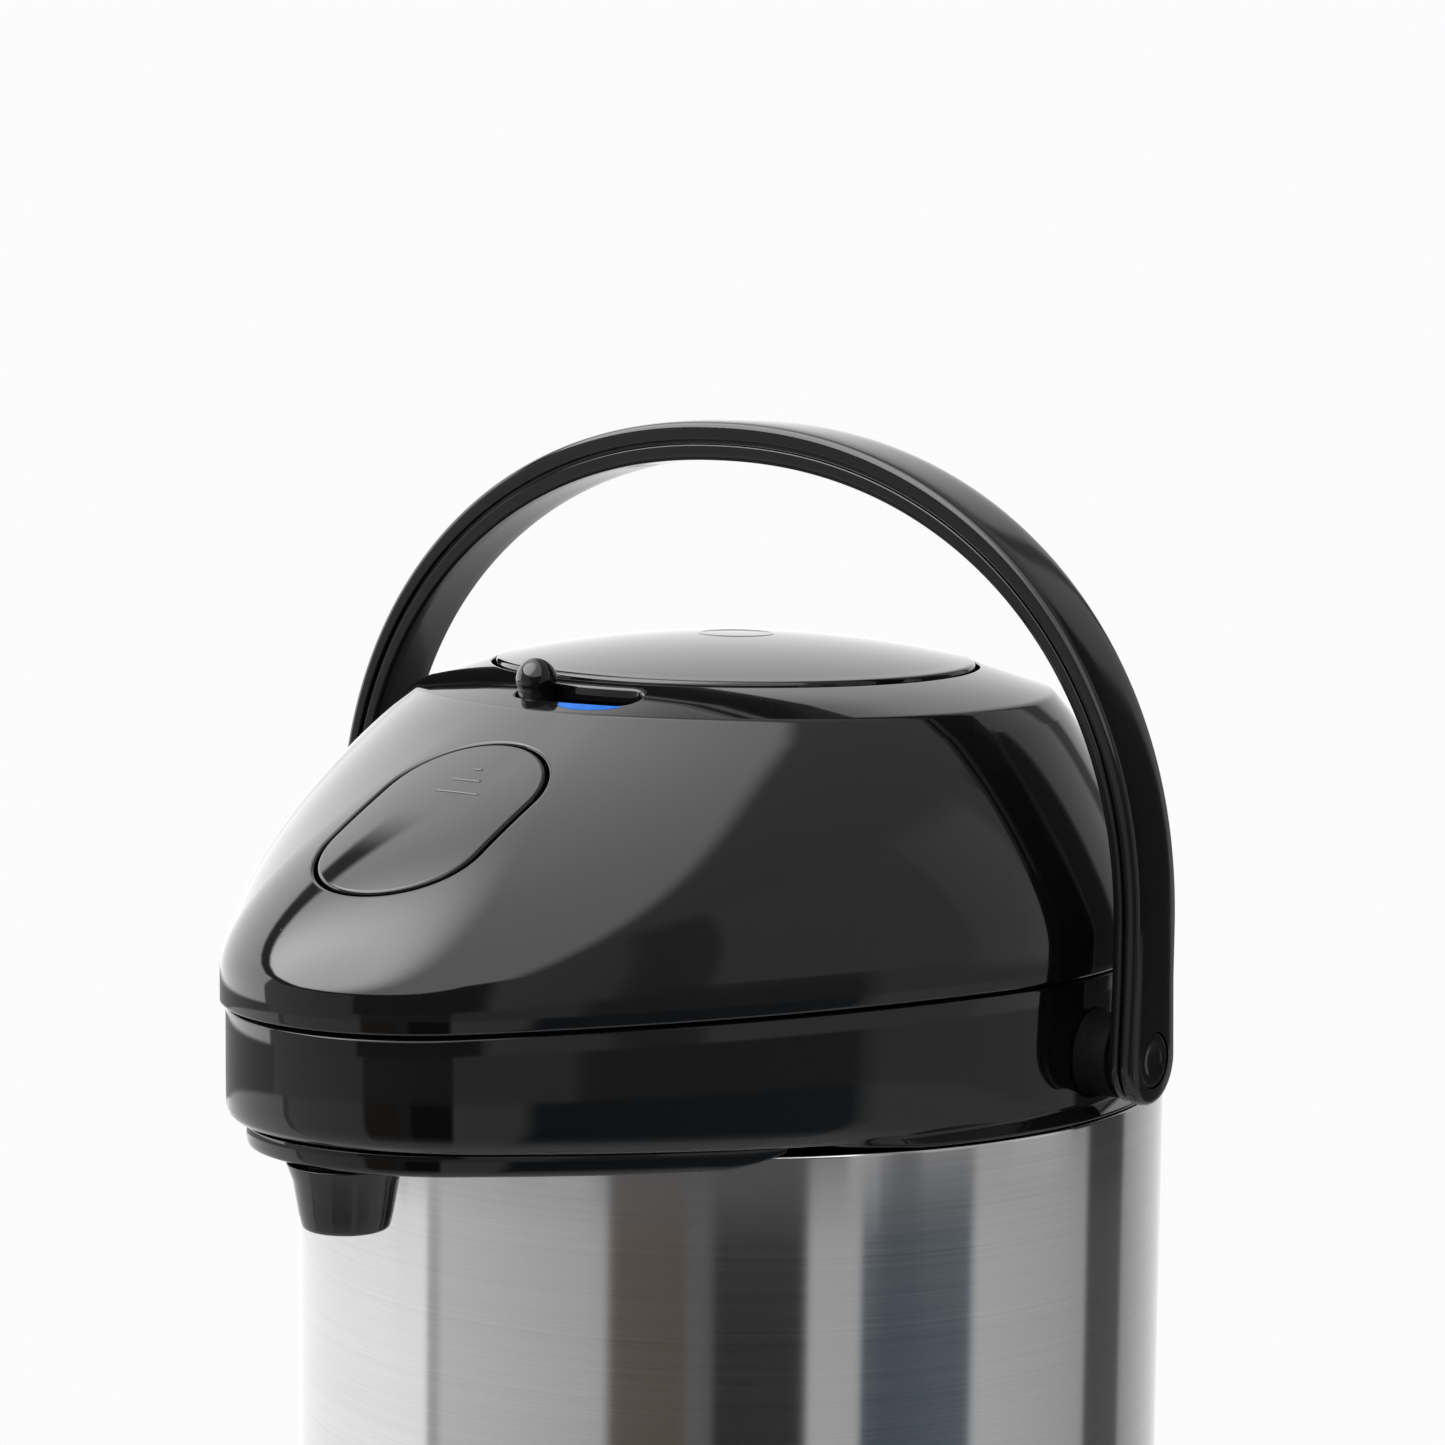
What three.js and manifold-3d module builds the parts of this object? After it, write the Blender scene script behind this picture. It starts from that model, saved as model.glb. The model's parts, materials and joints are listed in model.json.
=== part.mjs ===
// Thermal coffee airpot with a pump lid, a swinging bail handle and a swivel base.
// Millimetres, +Z up. The origin is the centre of the foot pad's underside.
// The spout points along -Y and the handle's pivot axis runs along X.
import * as THREE from 'three';
import Module from 'manifold-3d';
import { mergeVertices } from 'three/addons/utils/BufferGeometryUtils.js';

const wasm = await Module();
wasm.setup();

// ---- driving dimensions -------------------------------------------------------------
const GAP = 0.3;               // clearance between touching pieces
const BODY_R = 82;             // steel jacket radius
const JACKET_BOTTOM = 22.4;
const JACKET_TOP = 288.6;
const SHOULDER_R = 5;          // rounding of the jacket's top edge
const CROWN_R = 70;            // welded seam between the jacket and its flat top ring
const COLLAR_BOTTOM = 289;
const COLLAR_TOP = 313.8;
const DECK_BOTTOM = 298.6;
const DECK_TOP = 301;
const SKIRT_BOTTOM = 314.5;    // lower edge of the lid
const SKIRT_TOP = 320.6;
const PLATE_Z = 366;           // rim of the push plate
const PLATE_R = 45.2;
const PLATE_HOLE_R = 46;
const PLATE_RISE = 4.8;        // height of the plate's dome over its rim
const BEVEL_R = 60;            // crisp edge between the lid's top bevel and its cone
const BEVEL_Z = 361;
const LID_WALL = 2.2;
const COLLAR_INSET = 1.2;      // the lid overhangs the collar by this much
const COLLAR_WALL = 3;
const OUTLINE = { body: 80, nose: 34.5, reach: 94, flank: 268 };
const COVER = { body: 72, nose: 29, reach: 95.5, flank: 240 };
const NOZZLE_Y = -114.4;
const NOZZLE_BOTTOM = 275.5;
const SLOT_IN = 48.5;          // lock slot, radii from the plate's axis
const SLOT_OUT = 55.5;
const SLOT_HALF_DEG = 10.6;    // to the centre of each round end
const SLOT_MID_DEG = 1;
const LOCK_REST_DEG = -9.2;
const KNOB_R = 3.35;
const LATCH_Y = -92.0;         // centre of the latch button
const LATCH_TILT = THREE.MathUtils.degToRad(26);
const LATCH_LENGTH = 47.4;
const LATCH_WIDTH = 31;
const PIVOT_Z = 300;
const HANDLE = { outX: 91.2, outZ: 88.5, inX: 85.7, inZ: 81, power: 2.15, mid: 322.5, width: 15 };
const HINGE_Y = 83.5;          // lid hinge axis
const HINGE_Z = 311;
const ROUND = 40;              // facets on large turned pieces
const SMALL = 18;              // facets on small turned pieces

// ---- materials ----------------------------------------------------------------------
function plastic(color, roughness) {
  return new THREE.MeshStandardMaterial({ color, roughness, metalness: 0 });
}
function metal(color, roughness) {
  return new THREE.MeshStandardMaterial({ color, roughness, metalness: 1 });
}
const GLOSS_BLACK = plastic(0x0c0c0d, 0.08);
const SATIN_BLACK = plastic(0x121213, 0.3);
const GREY_PLASTIC = plastic(0x4a4b4d, 0.5);
const BLUE_PLASTIC = plastic(0x1f6fff, 0.3);
const CLEAR_SILICONE = plastic(0xd9dcdd, 0.5);
const RUBBER = plastic(0x1b1b1c, 0.8);
const BRUSHED_STEEL = metal(0xb9babc, 0.28);
const BRIGHT_STEEL = metal(0xc9cacc, 0.15);

// ---- solids and geometry ------------------------------------------------------------
function clean(source) {
  const bare = source.index ? source.toNonIndexed() : source.clone();
  bare.deleteAttribute('normal');
  bare.deleteAttribute('uv');
  const merged = mergeVertices(bare, 1e-4);
  const index = merged.index.array;
  const p = merged.attributes.position;
  const kept = [];
  let volume = 0;
  const [a, b, c] = [new THREE.Vector3(), new THREE.Vector3(), new THREE.Vector3()];
  for (let i = 0; i < index.length; i += 3) {
    const [ia, ib, ic] = [index[i], index[i + 1], index[i + 2]];
    if (ia === ib || ib === ic || ia === ic) continue;
    a.fromBufferAttribute(p, ia);
    b.fromBufferAttribute(p, ib);
    c.fromBufferAttribute(p, ic);
    volume += a.dot(b.cross(c));
    kept.push([ia, ib, ic]);
  }
  const faces = volume < 0 ? kept.map(([i, j, k]) => [i, k, j]) : kept;
  merged.setIndex(faces.flat());
  return merged;
}

function solid(geometry) {
  const g = clean(geometry);
  const vertProperties = new Float32Array(g.attributes.position.array);
  const triVerts = new Uint32Array(g.index.array);
  return new wasm.Manifold(new wasm.Mesh({ numProp: 3, vertProperties, triVerts }));
}

function geometryOf(manifold) {
  const out = manifold.getMesh();
  const geometry = new THREE.BufferGeometry();
  const positions = new Float32Array(out.numVert * 3);
  for (let i = 0; i < out.numVert; i += 1) {
    for (let k = 0; k < 3; k += 1) {
      positions[i * 3 + k] = out.vertProperties[i * out.numProp + k];
    }
  }
  geometry.setAttribute('position', new THREE.BufferAttribute(positions, 3));
  geometry.setIndex(Array.from(out.triVerts));
  return geometry;
}

function union(...geometries) {
  return geometries.map(solid).reduce((sum, next) => sum.add(next));
}

function cut(base, ...tools) {
  const start = base instanceof THREE.BufferGeometry ? solid(base) : base;
  return tools.reduce((left, tool) => left.subtract(solid(tool)), start);
}

function node(name, shape, material) {
  const geometry = shape instanceof THREE.BufferGeometry ? clean(shape) : geometryOf(shape);
  geometry.computeVertexNormals();
  const mesh = new THREE.Mesh(geometry, material);
  mesh.name = name;
  return mesh;
}

// A closed profile of [radius, height] pairs turned about Z.
function turned(profile, facets = ROUND) {
  const onAxis = profile[0][0] === 0 && profile[profile.length - 1][0] === 0;
  const points = profile.map(([r, z]) => new THREE.Vector2(r, z));
  if (!onAxis) points.push(points[0].clone());
  return new THREE.LatheGeometry(points, facets).rotateX(Math.PI / 2);
}

function disc(radius, z0, z1, facets = SMALL, x = 0, y = 0) {
  const geometry = new THREE.CylinderGeometry(radius, radius, z1 - z0, facets);
  return geometry.rotateX(Math.PI / 2).translate(x, y, (z0 + z1) / 2);
}

// A round bar along X.
function bar(radius, x0, x1, y, z, facets = SMALL) {
  const geometry = new THREE.CylinderGeometry(radius, radius, x1 - x0, facets);
  return geometry.rotateZ(Math.PI / 2).translate((x0 + x1) / 2, y, z);
}

function block(x0, x1, y0, y1, z0, z1) {
  const geometry = new THREE.BoxGeometry(x1 - x0, y1 - y0, z1 - z0);
  return geometry.translate((x0 + x1) / 2, (y0 + y1) / 2, (z0 + z1) / 2);
}

function circleShape(radius, facets = 12) {
  const points = [];
  for (let i = 0; i < facets; i += 1) {
    const a = (i / facets) * Math.PI * 2;
    points.push(new THREE.Vector2(radius * Math.cos(a), radius * Math.sin(a)));
  }
  return new THREE.Shape(points);
}

function along(curve, radius, steps, facets = 10, bore = 0) {
  const shape = circleShape(radius, facets);
  if (bore > 0) shape.holes.push(new THREE.Path(circleShape(bore, facets).getPoints()));
  return new THREE.ExtrudeGeometry(shape, { steps, extrudePath: curve, bevelEnabled: false });
}

// A solid skinned over rings of equal point count, capped at both ends.
function loft(rings) {
  const count = rings[0].length;
  const vertices = rings.flat();
  const faces = [];
  for (let k = 0; k + 1 < rings.length; k += 1) {
    for (let i = 0; i < count; i += 1) {
      const j = (i + 1) % count;
      const [a, b] = [k * count + i, k * count + j];
      faces.push(a, b, b + count, a, b + count, a + count);
    }
  }
  for (const [ring, first] of [[rings[0], 0], [rings.at(-1), (rings.length - 1) * count]]) {
    const hub = vertices.length;
    vertices.push(new THREE.Vector3(0, 0, ring[0].z));
    for (let i = 0; i < count; i += 1) {
      const pair = [first + i, first + ((i + 1) % count)];
      faces.push(hub, ...(first === 0 ? pair.reverse() : pair));
    }
  }
  const geometry = new THREE.BufferGeometry().setFromPoints(vertices);
  geometry.setIndex(faces);
  return geometry;
}

// ---- plan outline: body circle, two flank arcs and a round nose -----------------------
function outlineArcs({ body, nose, reach, flank }) {
  const [a, b] = [flank - body, flank - nose];
  const y = -(a * a - b * b + reach * reach) / (2 * reach);
  const centre = new THREE.Vector2(-Math.sqrt(a * a - y * y), y);
  const noseCentre = new THREE.Vector2(0, -reach);
  const bodyEnd = centre.clone().normalize().multiplyScalar(-body);
  const noseEnd = noseCentre.clone().sub(centre).normalize().multiplyScalar(nose).add(noseCentre);
  return { centre, noseCentre, bodyEnd, noseEnd };
}

const bearing = (p) => Math.atan2(p.x, -p.y);

// Distance from the axis to the outline, at an angle from the spout's direction.
function outlineRadius(theta, size) {
  const arcs = outlineArcs(size);
  const angle = Math.abs(Math.atan2(Math.sin(theta), Math.cos(theta)));
  if (angle >= bearing(arcs.bodyEnd)) return size.body;
  const onFlank = angle >= bearing(arcs.noseEnd);
  const centre = onFlank ? arcs.centre : arcs.noseCentre;
  const radius = onFlank ? size.flank : size.nose;
  const b = new THREE.Vector2(Math.sin(angle), -Math.cos(angle)).dot(centre);
  return b + Math.sqrt(Math.max(b * b - centre.lengthSq() + radius * radius, 0));
}

// Angles spread evenly along each arc of the outline, from the back round to the back.
function outlineAngles(noseSteps, flankSteps, bodySteps) {
  const { noseCentre, centre, bodyEnd, noseEnd } = outlineArcs(OUTLINE);
  const half = [];
  const sweep = (hub, radius, from, to, steps) => {
    const a0 = Math.atan2(from.y - hub.y, from.x - hub.x);
    const a1 = Math.atan2(to.y - hub.y, to.x - hub.x);
    for (let i = 0; i < steps; i += 1) {
      const a = a0 + ((a1 - a0) * i) / steps;
      half.push(Math.atan2(hub.x + radius * Math.cos(a), -(hub.y + radius * Math.sin(a))));
    }
  };
  const tip = new THREE.Vector2(0, -OUTLINE.reach - OUTLINE.nose);
  sweep(noseCentre, OUTLINE.nose, tip, noseEnd, noseSteps);
  sweep(centre, OUTLINE.flank, noseEnd, bodyEnd, flankSteps);
  const start = bearing(bodyEnd);
  for (let i = 0; i < bodySteps; i += 1) {
    half.push(start + ((Math.PI - start) * i) / bodySteps);
  }
  const mirrored = half.slice(1).map((a) => -a).reverse();
  return [...half, Math.PI, ...mirrored];
}
const ANGLES = outlineAngles(8, 5, 13);

function ring(z, radiusAt) {
  return ANGLES.map((a) => {
    const r = radiusAt(a);
    return new THREE.Vector3(r * Math.sin(a), -r * Math.cos(a), z);
  });
}

const outlineRing = (z, inset, size = OUTLINE) => ring(z, (a) => outlineRadius(a, size) - inset);

// ---- lid surface --------------------------------------------------------------------
// Share of the way out from the bevel's edge to the outline, at a depth share below it.
function spread(angle, depth) {
  const front = (0.5 + 0.5 * Math.cos(angle)) ** 1.5;
  const full = 1 + 1.5 * front;
  const bulge = full - Math.max(full - 1.55, 0) * front ** 8;
  const shoulder = 1.25 + (0.92 - 1.25) * front;
  return (1 - (1 - depth) ** bulge) ** (1 / shoulder);
}

function lidRadius(angle, depth) {
  return BEVEL_R + (outlineRadius(angle, OUTLINE) - BEVEL_R) * spread(angle, depth);
}

const LID_DEPTHS = [1, 0.86, 0.7, 0.54, 0.4, 0.27, 0.16, 0.07, 0];
const INNER_DEPTHS = [1, 0.7, 0.4, 0.16, 0];

// The lid's outer form, moved inwards and down by an inset, down to a given height.
function lidForm(inset, bottom, depths = LID_DEPTHS) {
  const rings = [outlineRing(bottom, inset)];
  for (const depth of depths) {
    const z = BEVEL_Z + (SKIRT_TOP - BEVEL_Z) * depth - inset;
    rings.push(ring(z, (a) => lidRadius(a, depth) - inset));
  }
  rings.push(ring(PLATE_Z - GAP - inset, () => PLATE_HOLE_R - 1));
  return loft(rings);
}

function lidFrontHeight(y) {
  let [low, high] = [0, 1];
  for (let i = 0; i < 40; i += 1) {
    const mid = (low + high) / 2;
    if (lidRadius(0, mid) < -y) low = mid;
    else high = mid;
  }
  return BEVEL_Z + (SKIRT_TOP - BEVEL_Z) * low;
}

// ---- shapes cut through the lid -------------------------------------------------------
function polar(radius, degrees) {
  const a = THREE.MathUtils.degToRad(degrees);
  return new THREE.Vector2(radius * Math.sin(a), -radius * Math.cos(a));
}

// A curved slot about the Z axis; angles are counted from the spout's direction.
function arcSlot(inner, outer, from, to) {
  const rad = (deg) => THREE.MathUtils.degToRad(deg - 90);
  const [mid, half] = [(inner + outer) / 2, (outer - inner) / 2];
  const [head, tail] = [polar(mid, to), polar(mid, from)];
  const shape = new THREE.Shape();
  shape.absarc(0, 0, outer, rad(from), rad(to), false);
  shape.absarc(head.x, head.y, half, rad(to), rad(to) + Math.PI, false);
  shape.absarc(0, 0, inner, rad(to), rad(from), true);
  shape.absarc(tail.x, tail.y, half, rad(from) + Math.PI, rad(from) + 2 * Math.PI, false);
  return shape;
}

function prism(shape, z0, z1, curveSegments = 8) {
  const settings = { depth: z1 - z0, bevelEnabled: false, curveSegments };
  return new THREE.ExtrudeGeometry(shape, settings).translate(0, 0, z0);
}

function latchPrism(grow, low, high) {
  const radius = LATCH_WIDTH / 2 + grow;
  const half = LATCH_LENGTH / 2 - LATCH_WIDTH / 2;
  const shape = new THREE.Shape();
  shape.absarc(0, half, radius, 0, Math.PI, false);
  shape.absarc(0, -half, radius, Math.PI, 2 * Math.PI, false);
  const solidPrism = prism(shape, low, high, 14);
  const surface = (lidFrontHeight(LATCH_Y - 20) + lidFrontHeight(LATCH_Y + 20)) / 2;
  return solidPrism.rotateX(LATCH_TILT).translate(0, LATCH_Y, surface);
}

// Crescent beside the slot's outer edge.
function markerPrism(grow) {
  const [from, to, inner, steps] = [0.5, 13.5, SLOT_OUT + 0.4, 10];
  const [near, far] = [[], []];
  for (let i = 0; i <= steps; i += 1) {
    const share = i / steps;
    const degrees = from - 1.2 * grow + (to - from + 2.4 * grow) * share;
    near.push(polar(inner - grow, degrees));
    far.push(polar(inner + 0.25 + 2 * Math.sin(Math.PI * share) ** 0.7 + grow, degrees));
  }
  return prism(new THREE.Shape([...near, ...far.reverse()]), 350, 370);
}

// ---- base -----------------------------------------------------------------------------
const base = new THREE.Group();
base.add(node('foot_pad', turned([[0, 0], [72, 0], [72, 2], [0, 2]]), RUBBER));
base.add(node('swivel_plate', turned([
  [5.3, 4.6], [10, 4.6], [10, 2.3], [74, 2.3], [75.5, 3.8], [75.5, 6], [67.4, 6], [67.4, 5],
  [60.6, 5], [60.6, 6], [5.3, 6],
]), SATIN_BLACK));

const BALL_R = 2.2;
const BALL_Z = 5 + GAP + BALL_R;
const balls = [];
for (let i = 0; i < 9; i += 1) {
  const spot = polar(64, i * 40);
  balls.push(new THREE.SphereGeometry(BALL_R, 6, 4).translate(spot.x, spot.y, BALL_Z));
}
const cage = turned([
  [63, BALL_Z - 0.4], [65, BALL_Z - 0.4], [65, BALL_Z + 0.4], [63, BALL_Z + 0.4],
], 36);

const pot = new THREE.Group();
pot.add(node('swivel_bearing', union(cage, ...balls), BRIGHT_STEEL));
pot.add(node('swivel_bolt', turned([
  [0, 2.6], [8.5, 2.6], [8.5, 4.2], [5, 4.2], [5, 14.3], [9, 14.3], [9, 18], [0, 18],
], SMALL), BRIGHT_STEEL));

const cupHoles = [0, 120, 240].map((deg) => {
  const spot = polar(40, deg);
  return disc(1.8, 9, 15, 10, spot.x, spot.y);
});
pot.add(node('base_cup', cut(turned([
  [5.3, 10.2], [78.6, 10.2], [81, 12.6], [81, 22.1], [80.3, 22.1], [80.3, 34], [77.8, 34],
  [77.8, 14], [5.3, 14],
]), ...cupHoles), SATIN_BLACK));

[0, 120, 240].forEach((deg, i) => {
  const spot = polar(40, deg);
  const profile = [[0, 8], [3, 8], [3, 9.9], [1.5, 9.9], [1.5, 18], [0, 19]];
  const screw = turned(profile, 10).translate(spot.x, spot.y, 0);
  pot.add(node(`base_screw_${i + 1}`, screw, BRIGHT_STEEL));
});
pot.add(node('liner_pad', turned([[14, 14.3], [34, 14.3], [34, 25.6], [14, 25.6]], 24), RUBBER));

// ---- steel vessel ---------------------------------------------------------------------
function shoulderArc(radius, inset) {
  const points = [];
  for (let i = 0; i <= 4; i += 1) {
    const a = (i / 4) * (Math.PI / 2);
    const centre = BODY_R - SHOULDER_R;
    points.push([centre + radius * Math.cos(a), JACKET_TOP - SHOULDER_R + radius * Math.sin(a)]);
  }
  return inset ? points.reverse() : points;
}
pot.add(node('steel_jacket', turned([
  [BODY_R, JACKET_BOTTOM], ...shoulderArc(SHOULDER_R, false), [CROWN_R + GAP, JACKET_TOP],
  [CROWN_R + GAP, JACKET_TOP - 1.1], ...shoulderArc(SHOULDER_R - 1.1, true),
  [BODY_R - 1.1, JACKET_BOTTOM],
], 56), BRUSHED_STEEL));
pot.add(node('jacket_crown', turned([
  [33, JACKET_TOP - 1.1], [CROWN_R, JACKET_TOP - 1.1], [CROWN_R, JACKET_TOP], [33, JACKET_TOP],
], 48), BRUSHED_STEEL));
pot.add(node('liner_bottom', turned([
  [0, 26], [58, 26], [72, 38 - GAP], [69.4, 38 - GAP], [57.4, 27.6], [0, 27.6],
], 32), BRIGHT_STEEL));
pot.add(node('liner_wall', turned([
  [70.4, 38], [72, 38], [72, 262], [70.4, 262],
], 32), BRIGHT_STEEL));
pot.add(node('liner_shoulder', turned([
  [72, 262 + GAP], [62, 276], [32, 283], [30.4, 283], [30.4, 281.7], [61, 274.6], [70.4, 262 + GAP],
], 32), BRIGHT_STEEL));
pot.add(node('liner_neck', turned([
  [30.4, 283 + GAP], [32, 283 + GAP], [32, 296], [30.4, 296],
], 32), BRIGHT_STEEL));
pot.add(node('neck_ring_nut', turned([
  [32.5, 289], [41, 289], [41, 296.8], [38, 297.8], [32.5, 297.8],
], 24), GREY_PLASTIC));
pot.add(node('neck_gasket', turned([
  [28.4, 296.3], [32, 296.3], [32, 298.3], [28.4, 298.3],
], 24), CLEAR_SILICONE));

// ---- collar, spout and nozzle -----------------------------------------------------------
function noseShare(angle) {
  const share = THREE.MathUtils.clamp((85 - Math.abs(THREE.MathUtils.radToDeg(angle))) / 35, 0, 1);
  return share * share * (3 - 2 * share);
}
const edgeRing = (z, tuck) => ring(z, (a) => {
  return outlineRadius(a, OUTLINE) - COLLAR_INSET - tuck * noseShare(a);
});
const collarOuter = loft([
  edgeRing(COLLAR_BOTTOM, 3.6), edgeRing(COLLAR_BOTTOM + 0.9, 1.8),
  edgeRing(COLLAR_BOTTOM + 2.4, 0.7), edgeRing(COLLAR_BOTTOM + 4.6, 0.2),
  outlineRing(COLLAR_TOP, COLLAR_INSET),
]);
const collarInset = COLLAR_INSET + COLLAR_WALL;
const KNUCKLE_R = 4;
const sideKnuckles = [-1, 1].map((side) => {
  const [x0, x1] = side > 0 ? [13, 21] : [-21, -13];
  const pad = block(x0, x1, 74.5, HINGE_Y, 306.6, HINGE_Z);
  return union(bar(KNUCKLE_R, x0, x1, HINGE_Y, HINGE_Z), pad);
});
const catches = [-1, 1].map((side) => {
  return block(side * 11 - 2.5, side * 11 + 2.5, -123.4, -119.4, 308.6, 311.6);
});
const pivotBore = bar(3.3, -92, 92, 0, PIVOT_Z);
const collar = cut(
  sideKnuckles.reduce((sum, part) => sum.add(part), solid(collarOuter)),
  loft([outlineRing(DECK_TOP, collarInset), outlineRing(COLLAR_TOP + 2, collarInset)]),
  disc(75.5, COLLAR_BOTTOM - 2, DECK_BOTTOM, ROUND),
  loft([outlineRing(291.6, collarInset + 1), outlineRing(DECK_BOTTOM, collarInset + 1)]),
  disc(27.4, DECK_BOTTOM - 1, DECK_TOP + 1, 32),
  disc(7.9, COLLAR_BOTTOM - 2, 293, SMALL, 0, NOZZLE_Y),
  disc(5.2, DECK_BOTTOM - 1, DECK_TOP + 1, SMALL, 0, NOZZLE_Y),
  bar(2.1, -30, 30, HINGE_Y, HINGE_Z, 14),
);
const drilled = cut(collar, bar(3.3, 70, 82, 0, PIVOT_Z), bar(3.3, -82, -70, 0, PIVOT_Z));
const hooked = catches.reduce((sum, part) => sum.add(solid(part)), drilled);
pot.add(node('shoulder_collar', hooked, GLOSS_BLACK));
pot.add(node('spout_cover', cut(
  loft([outlineRing(285.4, 1.2, COVER), outlineRing(286.5, 0, COVER), outlineRing(288.7, 0, COVER)]),
  disc(BODY_R + 0.5, 284, 290, 72), disc(7.9, 284, 290, SMALL, 0, NOZZLE_Y),
), GLOSS_BLACK));
pot.add(node('nozzle_tip', turned([
  [5.2, NOZZLE_BOTTOM + 0.2], [7.2, NOZZLE_BOTTOM], [7.9, NOZZLE_BOTTOM + 0.9],
  [8.5, NOZZLE_BOTTOM + 3.5], [9.3, 285.1], [7.6, 285.1], [7.6, 291.4], [5.2, 291.4],
], 28).translate(0, NOZZLE_Y, 0), GLOSS_BLACK));

// ---- liquid path: riser, check valve, outlet pipe -----------------------------------------
const PIPE_Z = 306.5;
const PIPE_BEND = 7;
const pipePath = new THREE.CurvePath();
const line = (a, b) => new THREE.LineCurve3(new THREE.Vector3(...a), new THREE.Vector3(...b));
const bend = (a, b, c) => new THREE.QuadraticBezierCurve3(
  new THREE.Vector3(...a), new THREE.Vector3(...b), new THREE.Vector3(...c));
pipePath.add(line([0, 0, 301], [0, 0, PIPE_Z - PIPE_BEND + 2]));
pipePath.add(bend([0, 0, PIPE_Z - PIPE_BEND + 2], [0, 0, PIPE_Z], [0, -PIPE_BEND, PIPE_Z]));
pipePath.add(line([0, -PIPE_BEND, PIPE_Z], [0, NOZZLE_Y + PIPE_BEND, PIPE_Z]));
pipePath.add(bend([0, NOZZLE_Y + PIPE_BEND, PIPE_Z], [0, NOZZLE_Y, PIPE_Z],
  [0, NOZZLE_Y, PIPE_Z - PIPE_BEND]));
pipePath.add(line([0, NOZZLE_Y, PIPE_Z - PIPE_BEND], [0, NOZZLE_Y, 281]));
pot.add(node('outlet_pipe', along(pipePath, 4.2, 40, 8, 3), CLEAR_SILICONE));
pot.add(node('riser_tube', turned([[4.6, 34], [6, 32], [6, 289], [4.6, 289]], SMALL), CLEAR_SILICONE));
pot.add(node('valve_housing', turned([
  [3.4, 289.4], [8.6, 289.4], [8.6, 300.4], [5.6, 300.4], [5.6, 293], [3.4, 291.6],
], SMALL), GREY_PLASTIC));
pot.add(node('check_ball', new THREE.SphereGeometry(3.9, 12, 8).translate(0, 0, 295.6), BRIGHT_STEEL));

const plugVents = [60, 180, 300].map((deg) => {
  const spot = polar(17, deg);
  return disc(2.6, 285, 316, 10, spot.x, spot.y);
});
pot.add(node('mouth_plug', cut(
  turned([
    [0, 290], [24.5, 290], [26.8, 292], [26.8, 301.3], [30.5, 301.3], [30.5, 312.7], [0, 312.7],
  ], 24),
  disc(9, 288, 301.4, SMALL), along(pipePath, 4.9, 40, 8), ...plugVents,
), GREY_PLASTIC));
pot.add(node('plug_o_ring', turned([
  [27.1, 291.6], [29.6, 291.6], [29.6, 294.4], [27.1, 294.4],
], 24), RUBBER));

// ---- handle ---------------------------------------------------------------------------------
function archPoints(halfWidth, rise, count) {
  const points = [];
  for (let i = 0; i <= count; i += 1) {
    const t = (i / count) * Math.PI;
    const x = Math.sign(Math.cos(t)) * Math.abs(Math.cos(t)) ** (2 / HANDLE.power);
    points.push(new THREE.Vector2(halfWidth * x, HANDLE.mid + rise * Math.sin(t) ** (2 / HANDLE.power)));
  }
  return points;
}
function archBand(outX, outZ, inX, inZ, width, bevel) {
  const outer = archPoints(outX, outZ, 34);
  const inner = archPoints(inX, inZ, 34).reverse();
  const shape = new THREE.Shape([
    new THREE.Vector2(outX, PIVOT_Z), ...outer, new THREE.Vector2(-outX, PIVOT_Z),
    new THREE.Vector2(-inX, PIVOT_Z), ...inner, new THREE.Vector2(inX, PIVOT_Z),
  ]);
  const settings = {
    depth: width - 2 * bevel, bevelEnabled: bevel > 0, bevelSize: bevel, bevelThickness: bevel,
    bevelOffset: -bevel, bevelSegments: 1,
  };
  const band = new THREE.ExtrudeGeometry(shape, settings);
  return band.translate(0, 0, -width / 2 + bevel).rotateX(Math.PI / 2);
}
const END_R = 8.2;
const ends = [-1, 1].map((side) => {
  const [x0, x1] = side > 0 ? [HANDLE.inX - 0.3, HANDLE.outX] : [-HANDLE.outX, -HANDLE.inX + 0.3];
  return bar(END_R, x0, x1, 0, PIVOT_Z, 28);
});
const counterbores = [bar(5, 88.6, 93, 0, PIVOT_Z), bar(5, -93, -88.6, 0, PIVOT_Z)];
const handle = new THREE.Group();
handle.add(node('bail_handle', cut(
  union(archBand(HANDLE.outX, HANDLE.outZ, HANDLE.inX, HANDLE.inZ, HANDLE.width, 1), ...ends),
  pivotBore, ...counterbores,
), SATIN_BLACK));

for (const [name, side] of [['left', -1], ['right', 1]]) {
  const washer = cut(bar(9.2, 79.3, 85.1, 0, PIVOT_Z, 28), bar(3.3, 78, 86, 0, PIVOT_Z));
  const pin = union(bar(3, 73, 89.4, 0, PIVOT_Z), bar(4.7, 88.9, 90.8, 0, PIVOT_Z));
  const turn = side > 0 ? 0 : Math.PI;
  pot.add(node(`pivot_boss_${name}`, geometryOf(washer).rotateZ(turn), GLOSS_BLACK));
  pot.add(node(`pivot_pin_${name}`, geometryOf(pin).rotateZ(turn), SATIN_BLACK));
}

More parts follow.
